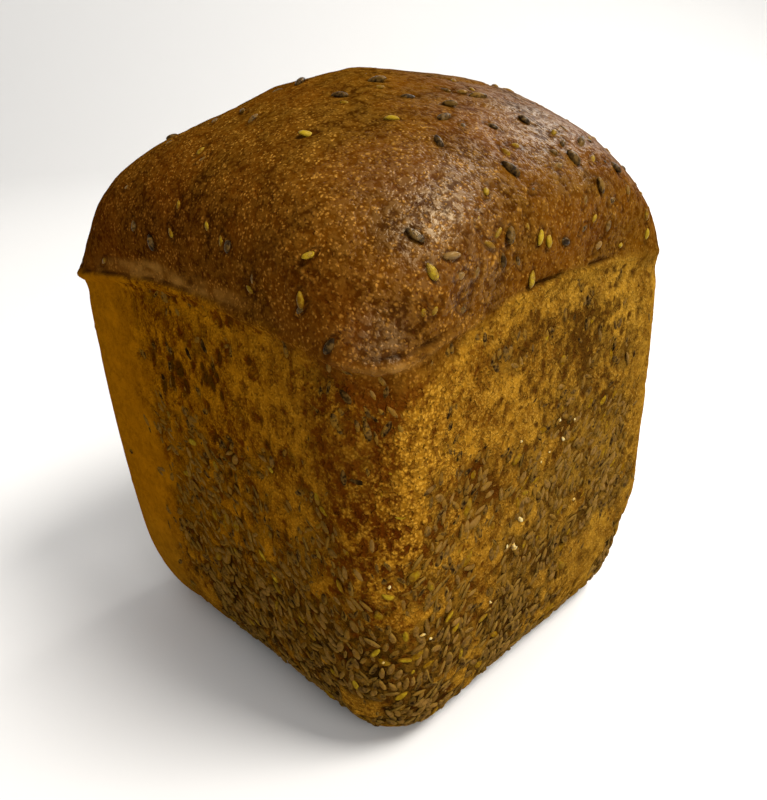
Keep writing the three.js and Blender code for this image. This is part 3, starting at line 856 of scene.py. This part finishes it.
def crease_depth(points, start, middle, end, width):
    """A crease along a bent line through three places seen from above: a bell across it, fading at its
    ends."""
    t = np.linspace(0, 1, CREASE_STEPS)[:, None]
    start, middle, end = (np.array(place, float) for place in (start, middle, end))
    line = (1 - t) ** 2 * start + 2 * t * (1 - t) * middle + t**2 * end
    flat = points[..., :2].reshape(-1, 2)
    gaps = np.linalg.norm(flat[:, None] - line[None], axis=2)
    nearest = gaps.argmin(axis=1)
    fade = np.sin(np.pi * (nearest + 0.5) / CREASE_STEPS) ** 0.5
    return (bell(gaps.min(axis=1) / width) * fade).reshape(points.shape[:-1])


# Materials

class Value:
    """The output of a shader node. A sum, a product or the like of it is a node of its own."""

    def __init__(self, socket):
        self.socket, self.tree = socket, socket.id_data

    def math(self, operation, other):
        return result(self.tree, "Math", {0: self, 1: other}, operation=operation)

    def __add__(self, other):
        return self.math("ADD", other)

    def __sub__(self, other):
        return self.math("SUBTRACT", other)

    def __mul__(self, other):
        return self.math("MULTIPLY", other)

    def most(self, other):
        return self.math("MAXIMUM", other)

    def between(self, low, high, out_low=0.0, out_high=1.0):
        """The value mapped smoothly from one range to another, and kept inside it."""
        inputs = {"Value": self, "From Min": low, "From Max": high, "To Min": out_low, "To Max": out_high}
        return result(self.tree, "MapRange", inputs, interpolation_type="SMOOTHSTEP")


def add_node(tree, kind, inputs=None, **settings):
    """A shader node with its settings. Each input is linked to a Value, or set to a number or a colour."""
    made = tree.nodes.new("ShaderNode" + kind)
    for key, value in settings.items():
        setattr(made, key, value)
    for key, value in (inputs or {}).items():
        socket = made.inputs[key]
        if isinstance(value, Value):
            tree.links.new(value.socket, socket)
        else:
            socket.default_value = (*value, 1)[:4] if socket.type == "RGBA" else value
    return made


def result(tree, kind, inputs=None, output=0, **settings):
    """One output of a new shader node."""
    return Value(add_node(tree, kind, inputs, **settings).outputs[output])


def blend(share, first, second, kind="MIX"):
    """Two colours mixed by a share. The numbers are those of the node's colour sockets."""
    return result(share.tree, "Mix", {0: share, 6: first, 7: second}, 2, data_type="RGBA", blend_type=kind)


def layered(colour, *layers):
    """A colour with others laid over it one after the other, each by its share."""
    for share, other in layers:
        colour = blend(share, colour, other)
    return colour


def noise_at(place, size, detail=2.0, roughness=0.5):
    """Noise from about 0.25 to 0.75, with features of the given size in millimetres."""
    inputs = {"Vector": place, "Scale": 0.5 / METRES / size, "Detail": detail, "Roughness": roughness}
    return result(place.tree, "TexNoise", inputs)


def point_value(tree, name):
    return result(tree, "Attribute", output="Fac", attribute_name=name)


def new_group(name, inputs, outputs):
    """An empty node group, the values that it is given and the sockets that it fills, both by name."""
    group = bpy.data.node_groups.new(name, "ShaderNodeTree")
    for direction, sockets in (("INPUT", inputs), ("OUTPUT", outputs)):
        for socket_name, kind in sockets:
            group.interface.new_socket(socket_name, in_out=direction, socket_type="NodeSocket" + kind)
    given = {socket.name: Value(socket) for socket in group.nodes.new("NodeGroupInput").outputs}
    return group, given, group.nodes.new("NodeGroupOutput").inputs


def crust_grain_group():
    """The grain of a baked crust: pale blisters, grains, dark upright pits, cloudy browning, larger patches
    and the height of it all. Blisters, grains and pits are cells round random points, at shaken places."""
    group, _, sockets = new_group("crust_grain", (), [(name, "Float") for name in GRAIN])
    place = result(group, "TexCoord", output="Object")
    wobble = result(group, "TexNoise", {"Vector": place, "Scale": WOBBLE_SCALE, "Detail": 1.0}, "Color")
    shaken = result(group, "VectorMath", {0: wobble, 1: WOBBLE, 2: place}, operation="MULTIPLY_ADD")
    upright = result(group, "VectorMath", {0: shaken, 1: PIT_STRETCH}, operation="MULTIPLY")

    def cells(size):
        made = add_node(group, "TexVoronoi", {"Vector": shaken, "Scale": 1 / METRES / size})
        return Value(made.outputs["Distance"]), Value(made.outputs["Color"])

    def dots(size, share, edge):
        """Round dots in a share of the cells, up to an edge that is a share of the cell's size."""
        distance, colour = cells(size)
        chance = result(group, "SeparateColor", {"Color": colour})
        return chance.between(share, share * 0.2) * distance.between(edge, edge * 0.1)

    blister, pore = dots(0.8, 1.1, 0.56).most(dots(1.7, 0.4, 0.4)), dots(0.95, 0.5, 0.44)
    distance, _ = cells(0.85)
    # grain is 1 in a grain's middle and gap is 1 round it: the pale middles and dark gaps are partly the
    # crust's own colour and partly painted light and shade of the grains' relief
    grain, gap = distance.between(0.6, 0.15), distance.between(0.42, 0.66)
    pit = noise_at(upright, 1.0).between(0.53, 0.61)
    cloud, patch = noise_at(place, 4.0, 5.0, 0.62), noise_at(place, 11.0, 3.0)
    blotch, mottle = noise_at(place, 1.5, 4.0, 0.6), noise_at(place, 0.8, roughness=0.6).between(0.36, 0.64)
    height = blister * 0.35 + grain * 0.35 + noise_at(place, 0.3) * 0.3 - (pit + pore) * 0.6
    domed = blister * 0.2 + mottle * 0.16 - pore * 0.2
    made = (blister, pore, grain, gap, pit, cloud, patch, blotch, mottle, height, domed)
    for name, value in zip(GRAIN, made):
        group.links.new(value.socket, sockets[name])
    return group


def seed_coat_group():
    """A seed's coat: streaks, a tone from dark to light, an edge of its own colour, and crumbs of crust
    that stick to it."""
    inputs = [(name, "Color") for name in ("Dark", "Light", "Edge Colour", "Crust Colour", "Warm Tint")]
    inputs += [(name, "Float") for name in COAT_VALUES]
    group, given, sockets = new_group("seed_coat", inputs, (("Color", "Color"), ("Height", "Float")))
    place = result(group, "TexCoord", output="Object")
    streaks = noise_at(place, 0.45)
    stuck = noise_at(place, 0.8, 3.0, 0.6).between(0.45, 0.56) * given["Crusted"]
    tone = given["Tone"] + streaks.between(0.3, 0.7, -0.3, 0.3)
    colour = layered(
        blend(tone, given["Dark"], given["Light"]),
        (given["Edge"].between(0.18, 0.8, 0.0, 0.85), given["Edge Colour"]),
        (stuck, given["Crust Colour"]),
    )
    colour = blend(given["Warm"], colour, given["Warm Tint"], "MULTIPLY")
    group.links.new(colour.socket, sockets["Color"])
    group.links.new((streaks + stuck).socket, sockets["Height"])
    return group


def use_group(tree, name, make, inputs=None):
    """What a node gives that uses the named group, by name. The group is made the first time."""
    made = add_node(tree, "Group", inputs, node_tree=bpy.data.node_groups.get(name) or make())
    return {output.name: Value(output) for output in made.outputs}


def new_material(name):
    material = bpy.data.materials.new(name)
    material.use_nodes = True
    material.node_tree.nodes.clear()
    return material, material.node_tree


def finish_material(tree, colour, roughness, height, distance, specular):
    """The shader and its output, with a bump of the given height in metres. Highlights are a little
    warm."""
    bump = result(tree, "Bump", {"Height": height, "Distance": distance, "Strength": 1.0})
    inputs = {"Base Color": colour, "Roughness": roughness, "Specular IOR Level": specular, "Normal": bump,
              "Specular Tint": HIGHLIGHT_TINT}
    add_node(tree, "OutputMaterial", {"Surface": result(tree, "BsdfPrincipled", inputs)})


def crust_material(loaf):
    """Brown where the crown is, ochre on the walls and darker between the seeds, partly darker crust and
    partly painted shade. Blisters, grains and pits are in all of it, and painted shade lies in the groove
    above the lip and round the crown's seeds."""
    material = bpy.data.materials.get("loaf_crust")
    if material:
        return material
    material, tree = new_material("loaf_crust")
    grain = use_group(tree, "crust_grain", crust_grain_group)
    seeded, smooth, shade, ochre, dusty, grainy, warm, rusty, hollow, gloss = (
        point_value(tree, name) for name in CRUST_VALUES)
    blotch, mottle = grain["Blotch"], grain["Mottle"]
    cloud, patch = grain["Cloud"].between(0.33, 0.67), grain["Patch"].between(0.4, 0.6)

    specks = (grain["Blister"] * grain["Cloud"].between(0.3, 0.62, 0.3, 0.8)
              * grainy.between(0.3, 1, 0.35, 1.1) * blotch.between(0.36, 0.58, 0.4, 1.2)
              * dusty.most(smooth).between(0.75, 1, 1, 0.3))
    crown = layered(
        blend(cloud, loaf.crown_dark, loaf.crown_light),
        (mottle * 0.6, loaf.mottle_colour),
        (patch * 0.3, loaf.crown_rust),
        (specks, loaf.blister_colour),
        (grain["Pore"] * 0.7, loaf.pit_colour),
    )
    crown = blend(warm, crown, loaf.crown_tint, "MULTIPLY")

    # The grains' pale middles, partly a painted highlight on their tops, and pale blisters on the smooth
    # crust
    pale = (grain["Grain"] * grainy * 0.8).most(grain["Blister"] * smooth.between(0, 1, 0.5, 0))
    # The crust between the walls' seeds: its darkness is partly the crust's own and partly painted shade
    # between the seeds
    web = blend((cloud + mottle).between(0.4, 1.6), loaf.darkest_web_and_shade, loaf.web_light)
    frayed = blotch.between(0.3, 0.7, -0.35, 0.35) + mottle.between(0, 1, -0.2, 0.2)
    sunk = (hollow + frayed * 0.6).between(0.2, 0.9)
    burnt = (hollow.between(0.5, 1, 0, 0.6) + patch * 0.4).most(warm.between(0.5, 0.1, 0, 0.75))
    pits = (grain["Pit"] * smooth.between(0, 1, 1, 0.1) * grainy.between(0.3, 1, 0.4, 0.95)
            * grain["Patch"].between(0.3, 0.65, 0.35, 1))
    wall = layered(
        blend(cloud.most(smooth * mottle.between(0, 1, 0.5, 0.8)), loaf.wall_dark, loaf.wall_light),
        (pale, loaf.wall_pale),
        (seeded * smooth.between(0, 1, 1, 0), web),
        (sunk * smooth.between(0, 1, 0.9, 0.15), blend(burnt, loaf.wall_rust, loaf.hollow_colour)),
        ((rusty + frayed).between(0.35, 1.1, 0, 0.9), loaf.wall_rust),
        # The gaps round the grains are painted dark: partly darker crust and partly painted shade between the
        # grains
        (grain["Gap"] * grainy * blotch.between(0.35, 0.62, 0.1, 0.6),
         blend(rusty, loaf.hollow_colour, loaf.pit_colour)),
        (grain["Pore"] * smooth.between(0, 1, 0.45, 0.05), loaf.hollow_colour),
        (pits, loaf.pit_colour),
    )
    wall = blend(warm, wall, loaf.warm_tint, "MULTIPLY")

    dust = dusty * grain["Cloud"].between(0.3, 0.6, 0.5, 0.9)
    # shade lays painted shade over the crust, in the groove above the lip and round the crown's seeds
    colour = layered(blend(ochre, crown, wall), (dust, loaf.dust_colour), (shade, loaf.painted_shade_colour))
    height = (grain["Height"] * smooth.between(0, 1, 0.8, 0.25) * ochre
              + grain["Crown Height"] * ochre.between(0, 1, 1, 0))
    specular = gloss * mottle.between(0.1, 0.9, 0.15, 0.8)
    roughness = ochre.between(0, 1, CROWN_ROUGHNESS, WALL_ROUGHNESS)
    finish_material(tree, colour, roughness, height, CRUST_BUMP, specular)
    return material


def seed_material(loaf, name, dark, light, edge_colour):
    """The coat of the seeds of one piece, with the values that its points carry."""
    material, tree = new_material(name)
    inputs = {"Dark": dark, "Light": light, "Edge Colour": edge_colour, "Crust Colour": loaf.seed_crumbs,
              "Warm Tint": loaf.warm_tint}
    inputs.update((key, point_value(tree, key.lower())) for key in COAT_VALUES)
    coat = use_group(tree, "seed_coat", seed_coat_group, inputs)
    specular = point_value(tree, "gloss") * SEED_SHINE
    finish_material(tree, coat["Color"], SEED_ROUGHNESS, coat["Height"], SEED_BUMP, specular)
    return material


# The add-on

def length(name, description, millimetres):
    return FloatProperty(name=name, description=description, default=millimetres * METRES, min=0,
                         unit="LENGTH", precision=4)


def colour(name, description, *levels):
    return FloatVectorProperty(name=name, description=description, default=srgb(*levels), size=3,
                               min=0, max=1, subtype="COLOR")


def number(name, description, default, least):
    return IntProperty(name=name, description=description, default=default, min=least)


class LoafSettings(bpy.types.PropertyGroup):
    """The sizes and the colours of the loaf"""

    seed_length: length("Seed length", "Length of a flax seed", 4.6)
    seed_width: length("Seed width", "Width of a flax seed", 1.95)
    seed_thickness: length("Seed thickness", "Thickness of a flax seed", 1.2)
    seed_spacing: length("Seed spacing", "Distance between the seeds on the walls", 2.75)
    golden_share: FloatProperty(
        name="Golden share", description="Share of the walls' seeds that are golden", default=0.05,
        min=0, max=1, subtype="FACTOR")
    crown_seeds: number("Crown seeds", "Number of seeds on the crown", 155, 50)
    crown_cells: number("Crown cells", "Cells of the crown's mesh along a side", 308, 20)
    wall_cells: number("Wall cells", "Cells of the walls' mesh along a side", 180, 20)
    wall_rows: number("Wall rows", "Rows of the walls' mesh", 134, 20)
    crown_dark: colour("Crown, dark", "Darkest brown of the crown", 48, 24, 1)
    crown_light: colour("Crown, light", "Lighter brown of the crown", 84, 49, 4)
    crown_tint: colour("Crown, red tint", "Tint of the crown above the -Y wall", 240, 214, 205)
    mottle_colour: colour("Crown, mottling", "Fine lighter mottling of the crown", 106, 72, 18)
    crown_rust: colour("Crown, rust", "Redder stretches of the crown", 92, 46, 2)
    blister_colour: colour("Blisters", "Blisters of the crown", 164, 118, 44)
    wall_dark: colour("Walls, dark", "Darker ochre of the walls", 98, 63, 11)
    wall_light: colour("Walls, light", "Lighter ochre of the walls", 144, 104, 28)
    # The palest grains are partly a painted highlight on their tops
    wall_pale: colour("Walls, pale", "Palest grains of the walls", 188, 146, 60)
    # The darkest web is partly painted shade between the seeds
    darkest_web_and_shade: colour("Web, dark", "Darkest crust between the seeds", 36, 24, 6)
    web_light: colour("Web, light", "Lightest crust between the seeds", 94, 68, 22)
    hollow_colour: colour("Walls, hollows", "Dark hollows of the walls' crust", 50, 34, 8)
    wall_rust: colour("Walls, rust", "Redder blotches of the walls", 78, 38, 4)
    dust_colour: colour("Dust", "Dusty stretches of the crust", 140, 98, 40)
    warm_tint: colour("Walls, warm tint", "Tint of the walls where they are more orange", 255, 224, 98)
    pit_colour: colour("Pits", "Small burnt pits", 62, 26, 4)
    # Painted shade: the colour laid in the groove above the lip and round the crown's seeds
    painted_shade_colour: colour("Gaps", "Shaded crust beside a seed", 38, 16, 2)
    brown_dark: colour("Brown flax, dark", "Darkest brown seeds", 30, 19, 8)
    brown_light: colour("Brown flax, light", "Lightest brown seeds", 120, 90, 45)
    seed_crumbs: colour("Seeds, crumbs", "Crumbs of crust on the seeds", 109, 79, 27)
    brown_edge: colour("Brown flax, edge", "Edge of the brown seeds", 120, 93, 39)
    golden_dark: colour("Golden flax, dark", "Darkest golden seeds", 100, 68, 6)
    golden_light: colour("Golden flax, light", "Lightest golden seeds", 150, 124, 26)
    crumb_colour: colour("Crumbs", "White crumbs on the walls", 186, 172, 124)
    floor_colour: colour("Floor", "The pale floor", 226, 226, 226)


def seed_size(loaf):
    return np.array((loaf.seed_length, loaf.seed_width, loaf.seed_thickness)) / METRES


class LOAF_OT_crown(bpy.types.Operator):
    """Build the brown crown, with its lip, creases, small bumps and the dents that its seeds lie in"""

    bl_idname = "loaf.crown"
    bl_label = "Crown"

    def execute(self, context):
        loaf = context.scene.loaf
        cells = loaf.crown_cells
        line = np.linspace(-1, 1, cells + 1)
        turn, share = square_place(*np.meshgrid(line, line))
        share = share * (1 + SKIRT / CROWN_WAY)
        points = crown_skin(turn, share)
        normals = grid_normals(points, False)
        below = (share - 1) * CROWN_WAY
        seam = seam_at(turn) * mix(0.25, 1.1, ramp(noise(points, "seam depth"), -0.35, 0.25))
        groove = bell((below + SEAM_ABOVE + noise(points, "seam line")) / SEAM_WIDTH)
        relief = noise(points, "bumps") + noise(points, "small bumps") - seam * groove
        for start, middle, end, width, depth in CREASES:
            relief -= depth * crease_depth(points, start, middle, end, width)
        # Painted shade: the groove is darkened in colour, more where it is deeper
        shade = np.clip(seam * groove * 1.1, 0, 0.85)
        places, heading, _ = crown_seeds(loaf)
        half = seed_size(loaf) / 2
        for at, along, up, angle in zip(places["at"], places["along"], places["up"], heading):
            away = points - at
            near = np.nonzero(np.abs(away).max(axis=-1) < DENT_REACH)
            x, y = away[near] @ along, away[near] @ up
            c, s = math.cos(angle), math.sin(angle)
            far = np.hypot((x * c + y * s) / half[0], (y * c - x * s) / half[1])
            relief[near] -= DENT * bell((far - 1) / DENT_WIDTH)
            # painted shadow round each seed
            shade[near] = np.maximum(shade[near], DENT_SHADE * bell((far - 1) / DENT_SHADE_WIDTH))
        relief += RIDGE * corner_ridge(turn, below, points)
        relief *= 1 - ramp(below, 0.5, SKIRT)
        points = points + normals * relief[..., None]
        ring = [(0, i) for i in range(cells)] + [(i, cells) for i in range(cells)]
        ring += [(cells, cells - i) for i in range(cells)] + [(cells - i, 0) for i in range(cells)]
        underside = [row * (cells + 1) + column for row, column in reversed(ring)]
        faces = grid_quads(cells + 1, cells + 1, False).tolist() + [underside]
        values = crust_values(turn, below, points)
        ochre = values["ochre"]
        dotted = mix(0.45, 1.15, stretch(turn, "blistered crown") * ramp(share, 0.2, 0.55))
        values.update(
            shade=shade, seeded=0 * share, gloss=glossiness(points) * (1 - ochre),
            warm=values["warm"] * np.maximum(ramp(share, 0.45, 0.85), ochre),
            grainy=mix(dotted, values["grainy"], ochre),
            smooth=np.maximum(values["smooth"], stretched_skin(points)),
            hollow=0.6 * hollows(turn, points[..., 2], points) * ochre,
        )
        build_piece("crown_crust", points, faces, crust_material(loaf), **values)
        return {"FINISHED"}


class LOAF_OT_walls(bpy.types.Operator):
    """Build the ochre walls, the heel and the base, a little lower where seeds cover them"""

    bl_idname = "loaf.walls"
    bl_label = "Walls"

    def execute(self, context):
        loaf = context.scene.loaf
        columns = SIDES * loaf.wall_cells
        rows = np.linspace(0, 1, loaf.wall_rows)
        turn, share = np.meshgrid(np.arange(columns) / loaf.wall_cells, rows)
        level = WALL_LEVEL(share)
        points = wall_skin(turn, level)
        normals = grid_normals(points, True)
        height = points[..., 2]
        bare = bareness(turn, height, points)
        values = crust_values(turn, (1 - level) * RIM_HEIGHT, points)
        hollow = hollows(turn, height, points)
        relief = crust_level(points, height, bare, values["smooth"], hollow)
        # How dark the web between the seeds is painted: more towards the base and where the crust lies low
        # between the seeds, painted shade as well as darker crust
        seeded = mix(0.35, 0.9, ramp(height, 60, 12)) * ramp(bare, 0.6, 0.2)
        seeded = 0.3 * ramp(relief, 0.15, -0.5) + seeded
        relief = relief * np.clip(height / 6, 0, 1)
        points = points + normals * relief[..., None]
        points[0, :, 2] = 0
        tucked = wall_skin(turn[0], np.ones(columns), inset=TOP_INSET)[None]
        points = np.concatenate((points, tucked))
        hollow = hollow * (1 - 0.9 * values["smooth"])
        values.update(seeded=seeded, hollow=hollow, shade=0 * share, gloss=0 * share)
        values = {key: np.concatenate((value, value[-1:])) for key, value in values.items()}
        count = len(points)
        base = list(range(columns - 1, -1, -1))
        top = list(range((count - 1) * columns, count * columns))
        faces = grid_quads(count, columns, True).tolist() + [base, top]
        build_piece("wall_crust", points, faces, crust_material(loaf), **values)
        return {"FINISHED"}


def build_seeds(loaf, kind, dark, light, edge_colour):
    """One mesh of all the seeds of a kind: flat ones pressed into the walls, and rounder ones on the
    crown."""
    draw = np.random.default_rng(SIZE_DRAW)
    size, brown = seed_size(loaf), kind == "brown"
    groups = []
    for places, heading, kinds, bare, warm in (wall_seeds(loaf), (*crown_seeds(loaf), None, None)):
        chosen = np.array([SEED_KINDS[name][0] == kind for name in kinds])
        places = {key: value[chosen] for key, value in places.items()}
        heading, kinds = heading[chosen], kinds[chosen]
        count, height = len(heading), places["at"][:, 2]
        low, high, scale, depth = np.array([SEED_KINDS[name][1:] for name in kinds], float).reshape(-1, 4).T
        tone = mix(low, high, draw.uniform(0, 1, count))
        if bare is None:
            form, sink = seed_form(*CROWN_SEED_CELLS), draw.normal(depth + CROWN_SINK, CROWN_SINK_SPREAD)
            size_here = scale[:, None] * size * CROWN_SEED_SHAPE
            points, faces, edge = scatter(form, places, heading, size_here, sink, *CROWN_SEED_TILT, draw)
            edge = 0 * edge
            crusted, gloss = draw.uniform(0, 0.8, count), np.maximum(glossiness(places["at"]), 0.1)
            warm = np.zeros(count)
        else:
            form = seed_form(*WALL_SEED_CELLS)
            bare, warm = bare[chosen], 0.4 * warm[chosen] * brown
            high, low = ramp(height, 55, 85), ramp(height, 40, 8)
            sink = draw.normal(WALL_SINK, WALL_SINK_SPREAD, count)
            sink = sink + 0.08 * bare + 0.08 * high - 0.2 * (bare < 0)
            slim = [draw.uniform(*ends, count) for ends in WALL_SEED_SHAPE] + [np.ones(count)]
            size_here = size * np.stack(slim, axis=1)
            size_here[:, 1] *= 1 if brown else GOLDEN_WIDTH
            points, faces, edge = scatter(form, places, heading, size_here, sink, *WALL_SEED_TILT, draw)
            crusted, gloss = draw.uniform(0.4, 1.0, count) * (1 - 0.5 * low) + 0.4 * high, np.zeros(count)
            crusted[bare < 0] = 0.1
            edge = edge * (1 - 0.8 * np.repeat(high, len(form[0])))
            tone = tone * (1 - 0.65 * ramp(bare, 0.1, 0.5)) * (1 if brown else GOLDEN_TONE)
        each = {"tone": tone, "crusted": crusted, "gloss": gloss, "warm": warm}
        values = {key: np.repeat(value, len(form[0])) for key, value in each.items()}
        groups.append((faces, {"points": points, "edge": edge, **values}))
    (wall_faces, on_walls), (crown_faces, on_crown) = groups
    before = len(on_walls["points"])
    faces = wall_faces + [[corner + before for corner in face] for face in crown_faces]
    values = {key: np.concatenate((value, on_crown[key])) for key, value in on_walls.items()}
    name = "flax_" + kind
    material = seed_material(loaf, name, dark, light, edge_colour)
    build_piece(name, values.pop("points"), faces, material, **values)


class LOAF_OT_brown_seeds(bpy.types.Operator):
    """Press the brown flax seeds into the walls and lay some on the crown"""

    bl_idname = "loaf.brown_seeds"
    bl_label = "Brown seeds"

    def execute(self, context):
        loaf = context.scene.loaf
        build_seeds(loaf, "brown", loaf.brown_dark, loaf.brown_light, loaf.brown_edge)
        return {"FINISHED"}


class LOAF_OT_golden_seeds(bpy.types.Operator):
    """Lay the golden flax seeds among the brown ones"""

    bl_idname = "loaf.golden_seeds"
    bl_label = "Golden seeds"

    def execute(self, context):
        loaf = context.scene.loaf
        build_seeds(loaf, "golden", loaf.golden_dark, loaf.golden_light, loaf.wall_dark)
        return {"FINISHED"}


class LOAF_OT_crumbs(bpy.types.Operator):
    """Lay white crumbs on the walls: those in the photo where its camera sees them, and some others"""

    bl_idname = "loaf.crumbs"
    bl_label = "Crumbs"

    def execute(self, context):
        loaf = context.scene.loaf
        draw = np.random.default_rng(CRUMB_DRAW)
        turn, share, _ = seen_on_walls([(column, row, 0) for column, row, _ in SEEN_CRUMBS])
        turn = np.mod(np.r_[turn, draw.uniform(1, 3, MORE_CRUMBS)], SIDES)
        share = np.r_[share, draw.uniform(0.05, 0.95, MORE_CRUMBS)]
        places = lie_on(wall_skin, turn, WALL_LEVEL(share), 1)
        sizes = [CRUMB_SCALE * size for *_, size in SEEN_CRUMBS]
        sizes = np.r_[sizes, draw.uniform(*CRUMB_SIZES, MORE_CRUMBS)]
        count, form = len(sizes), seed_form(*CRUMB_CELLS)
        heading = draw.uniform(*CRUMB_HEADINGS, count)
        points, faces, _ = scatter(form, places, heading, np.ones(3), np.zeros(count), *CRUMB_TILT, draw)
        middle, sizes = (np.repeat(value, len(form[0]), axis=0) for value in (places["at"], sizes[:, None]))
        points = middle + (points - middle) * sizes
        lumps = [crumb_noise(points, CRUMB_LUMP_SIZE, seed) for seed in CRUMB_LUMP_SEEDS]
        points = points + CRUMB_LUMPS * sizes * np.stack(lumps, axis=-1)
        material, tree = new_material("crumbs")
        grit = noise_at(result(tree, "TexCoord", output="Object"), 0.4, 3.0)
        colour = blend(grit.between(0.35, 0.65), loaf.wall_pale, loaf.crumb_colour)
        finish_material(tree, colour, CRUMB_ROUGHNESS, grit, CRUMB_BUMP, 0.0)
        build_piece("crumbs", points, faces, material)
        return {"FINISHED"}


class LOAF_OT_stage(bpy.types.Operator):
    """Set up the pale floor, the soft lights and the camera that matches the photo"""

    bl_idname = "loaf.stage"
    bl_label = "Stage"

    def execute(self, context):
        loaf = context.scene.loaf
        bend = np.linspace(0, QUARTER, SWEEP_STEPS)
        depth = np.r_[FLOOR_FRONT, SWEEP_START + SWEEP_RADIUS * np.sin(bend), SWEEP_START + SWEEP_RADIUS]
        height = np.r_[0.0, SWEEP_RADIUS * (1 - np.cos(bend)), SWEEP_HEIGHT]
        side = FLOOR_HALF_WIDTH * direction(CAMERA_AZIMUTH + 90, 0)
        profile = depth[:, None] * direction(CAMERA_AZIMUTH + 180, 0) + height[:, None] * (0, 0, 1)
        points = np.stack((profile + side, profile - side), axis=1)
        material, tree = new_material("floor_paint")
        inputs = {"Base Color": loaf.floor_colour, "Roughness": FLOOR_ROUGHNESS}
        paint = result(tree, "BsdfPrincipled", inputs)
        add_node(tree, "OutputMaterial", {"Surface": paint})
        floor = add_mesh("floor", points, grid_quads(len(depth), 2, False).tolist(), material)
        floor.data.flip_normals()

        for name, azimuth, elevation, distance, power, size, tint in LIGHTS:
            lamp = bpy.data.lights.new(name, "AREA")
            lamp.energy, lamp.size, lamp.color = power, size, tint
            back, across = direction(azimuth, elevation), direction(azimuth + 90, 0)
            at = np.array(LIGHTS_AIM) + back * distance
            place_thing(add_object(name, lamp), at, across, np.cross(back, across), back)

        world = bpy.data.worlds.new("studio")
        world.use_nodes = True
        light = world.node_tree.nodes["Background"].inputs
        light["Color"].default_value, light["Strength"].default_value = (1, 1, 1, 1), WORLD_LIGHT
        context.scene.world = world
        context.scene.view_settings.view_transform = "Standard"

        lens = bpy.data.cameras.new("camera")
        lens.sensor_width = SENSOR_WIDTH
        lens.lens = SENSOR_WIDTH * CAMERA_FOCAL / max(PHOTO_SIZE)
        lens.clip_start, lens.clip_end = CLIP
        camera = add_object("camera", lens)
        place_thing(camera, (np.array(CAMERA_AT) + CENTRE) * METRES, *camera_axes())
        context.scene.camera = camera
        return {"FINISHED"}


class LOAF_PT_panel(bpy.types.Panel):
    """The loaf's pieces and settings"""

    bl_idname = "LOAF_PT_panel"
    bl_label = "Seeded tin loaf"
    bl_space_type = "VIEW_3D"
    bl_region_type = "UI"
    bl_category = "Loaf"

    def draw(self, context):
        for operator in OPERATORS:
            self.layout.operator(operator.bl_idname)
        for name in LoafSettings.__annotations__:
            self.layout.prop(context.scene.loaf, name)


OPERATORS = (LOAF_OT_stage, LOAF_OT_walls, LOAF_OT_crown, LOAF_OT_brown_seeds, LOAF_OT_golden_seeds,
             LOAF_OT_crumbs)


def register():
    for kind in (LoafSettings, *OPERATORS, LOAF_PT_panel):
        bpy.utils.register_class(kind)
    bpy.types.Scene.loaf = PointerProperty(type=LoafSettings)


def unregister():
    del bpy.types.Scene.loaf
    for kind in reversed((LoafSettings, *OPERATORS, LOAF_PT_panel)):
        bpy.utils.unregister_class(kind)


def main():
    register()
    bpy.ops.loaf.stage()
    bpy.ops.loaf.walls()
    bpy.ops.loaf.crown()
    bpy.ops.loaf.brown_seeds()
    bpy.ops.loaf.golden_seeds()
    bpy.ops.loaf.crumbs()


if __name__ == "__main__":
    main()
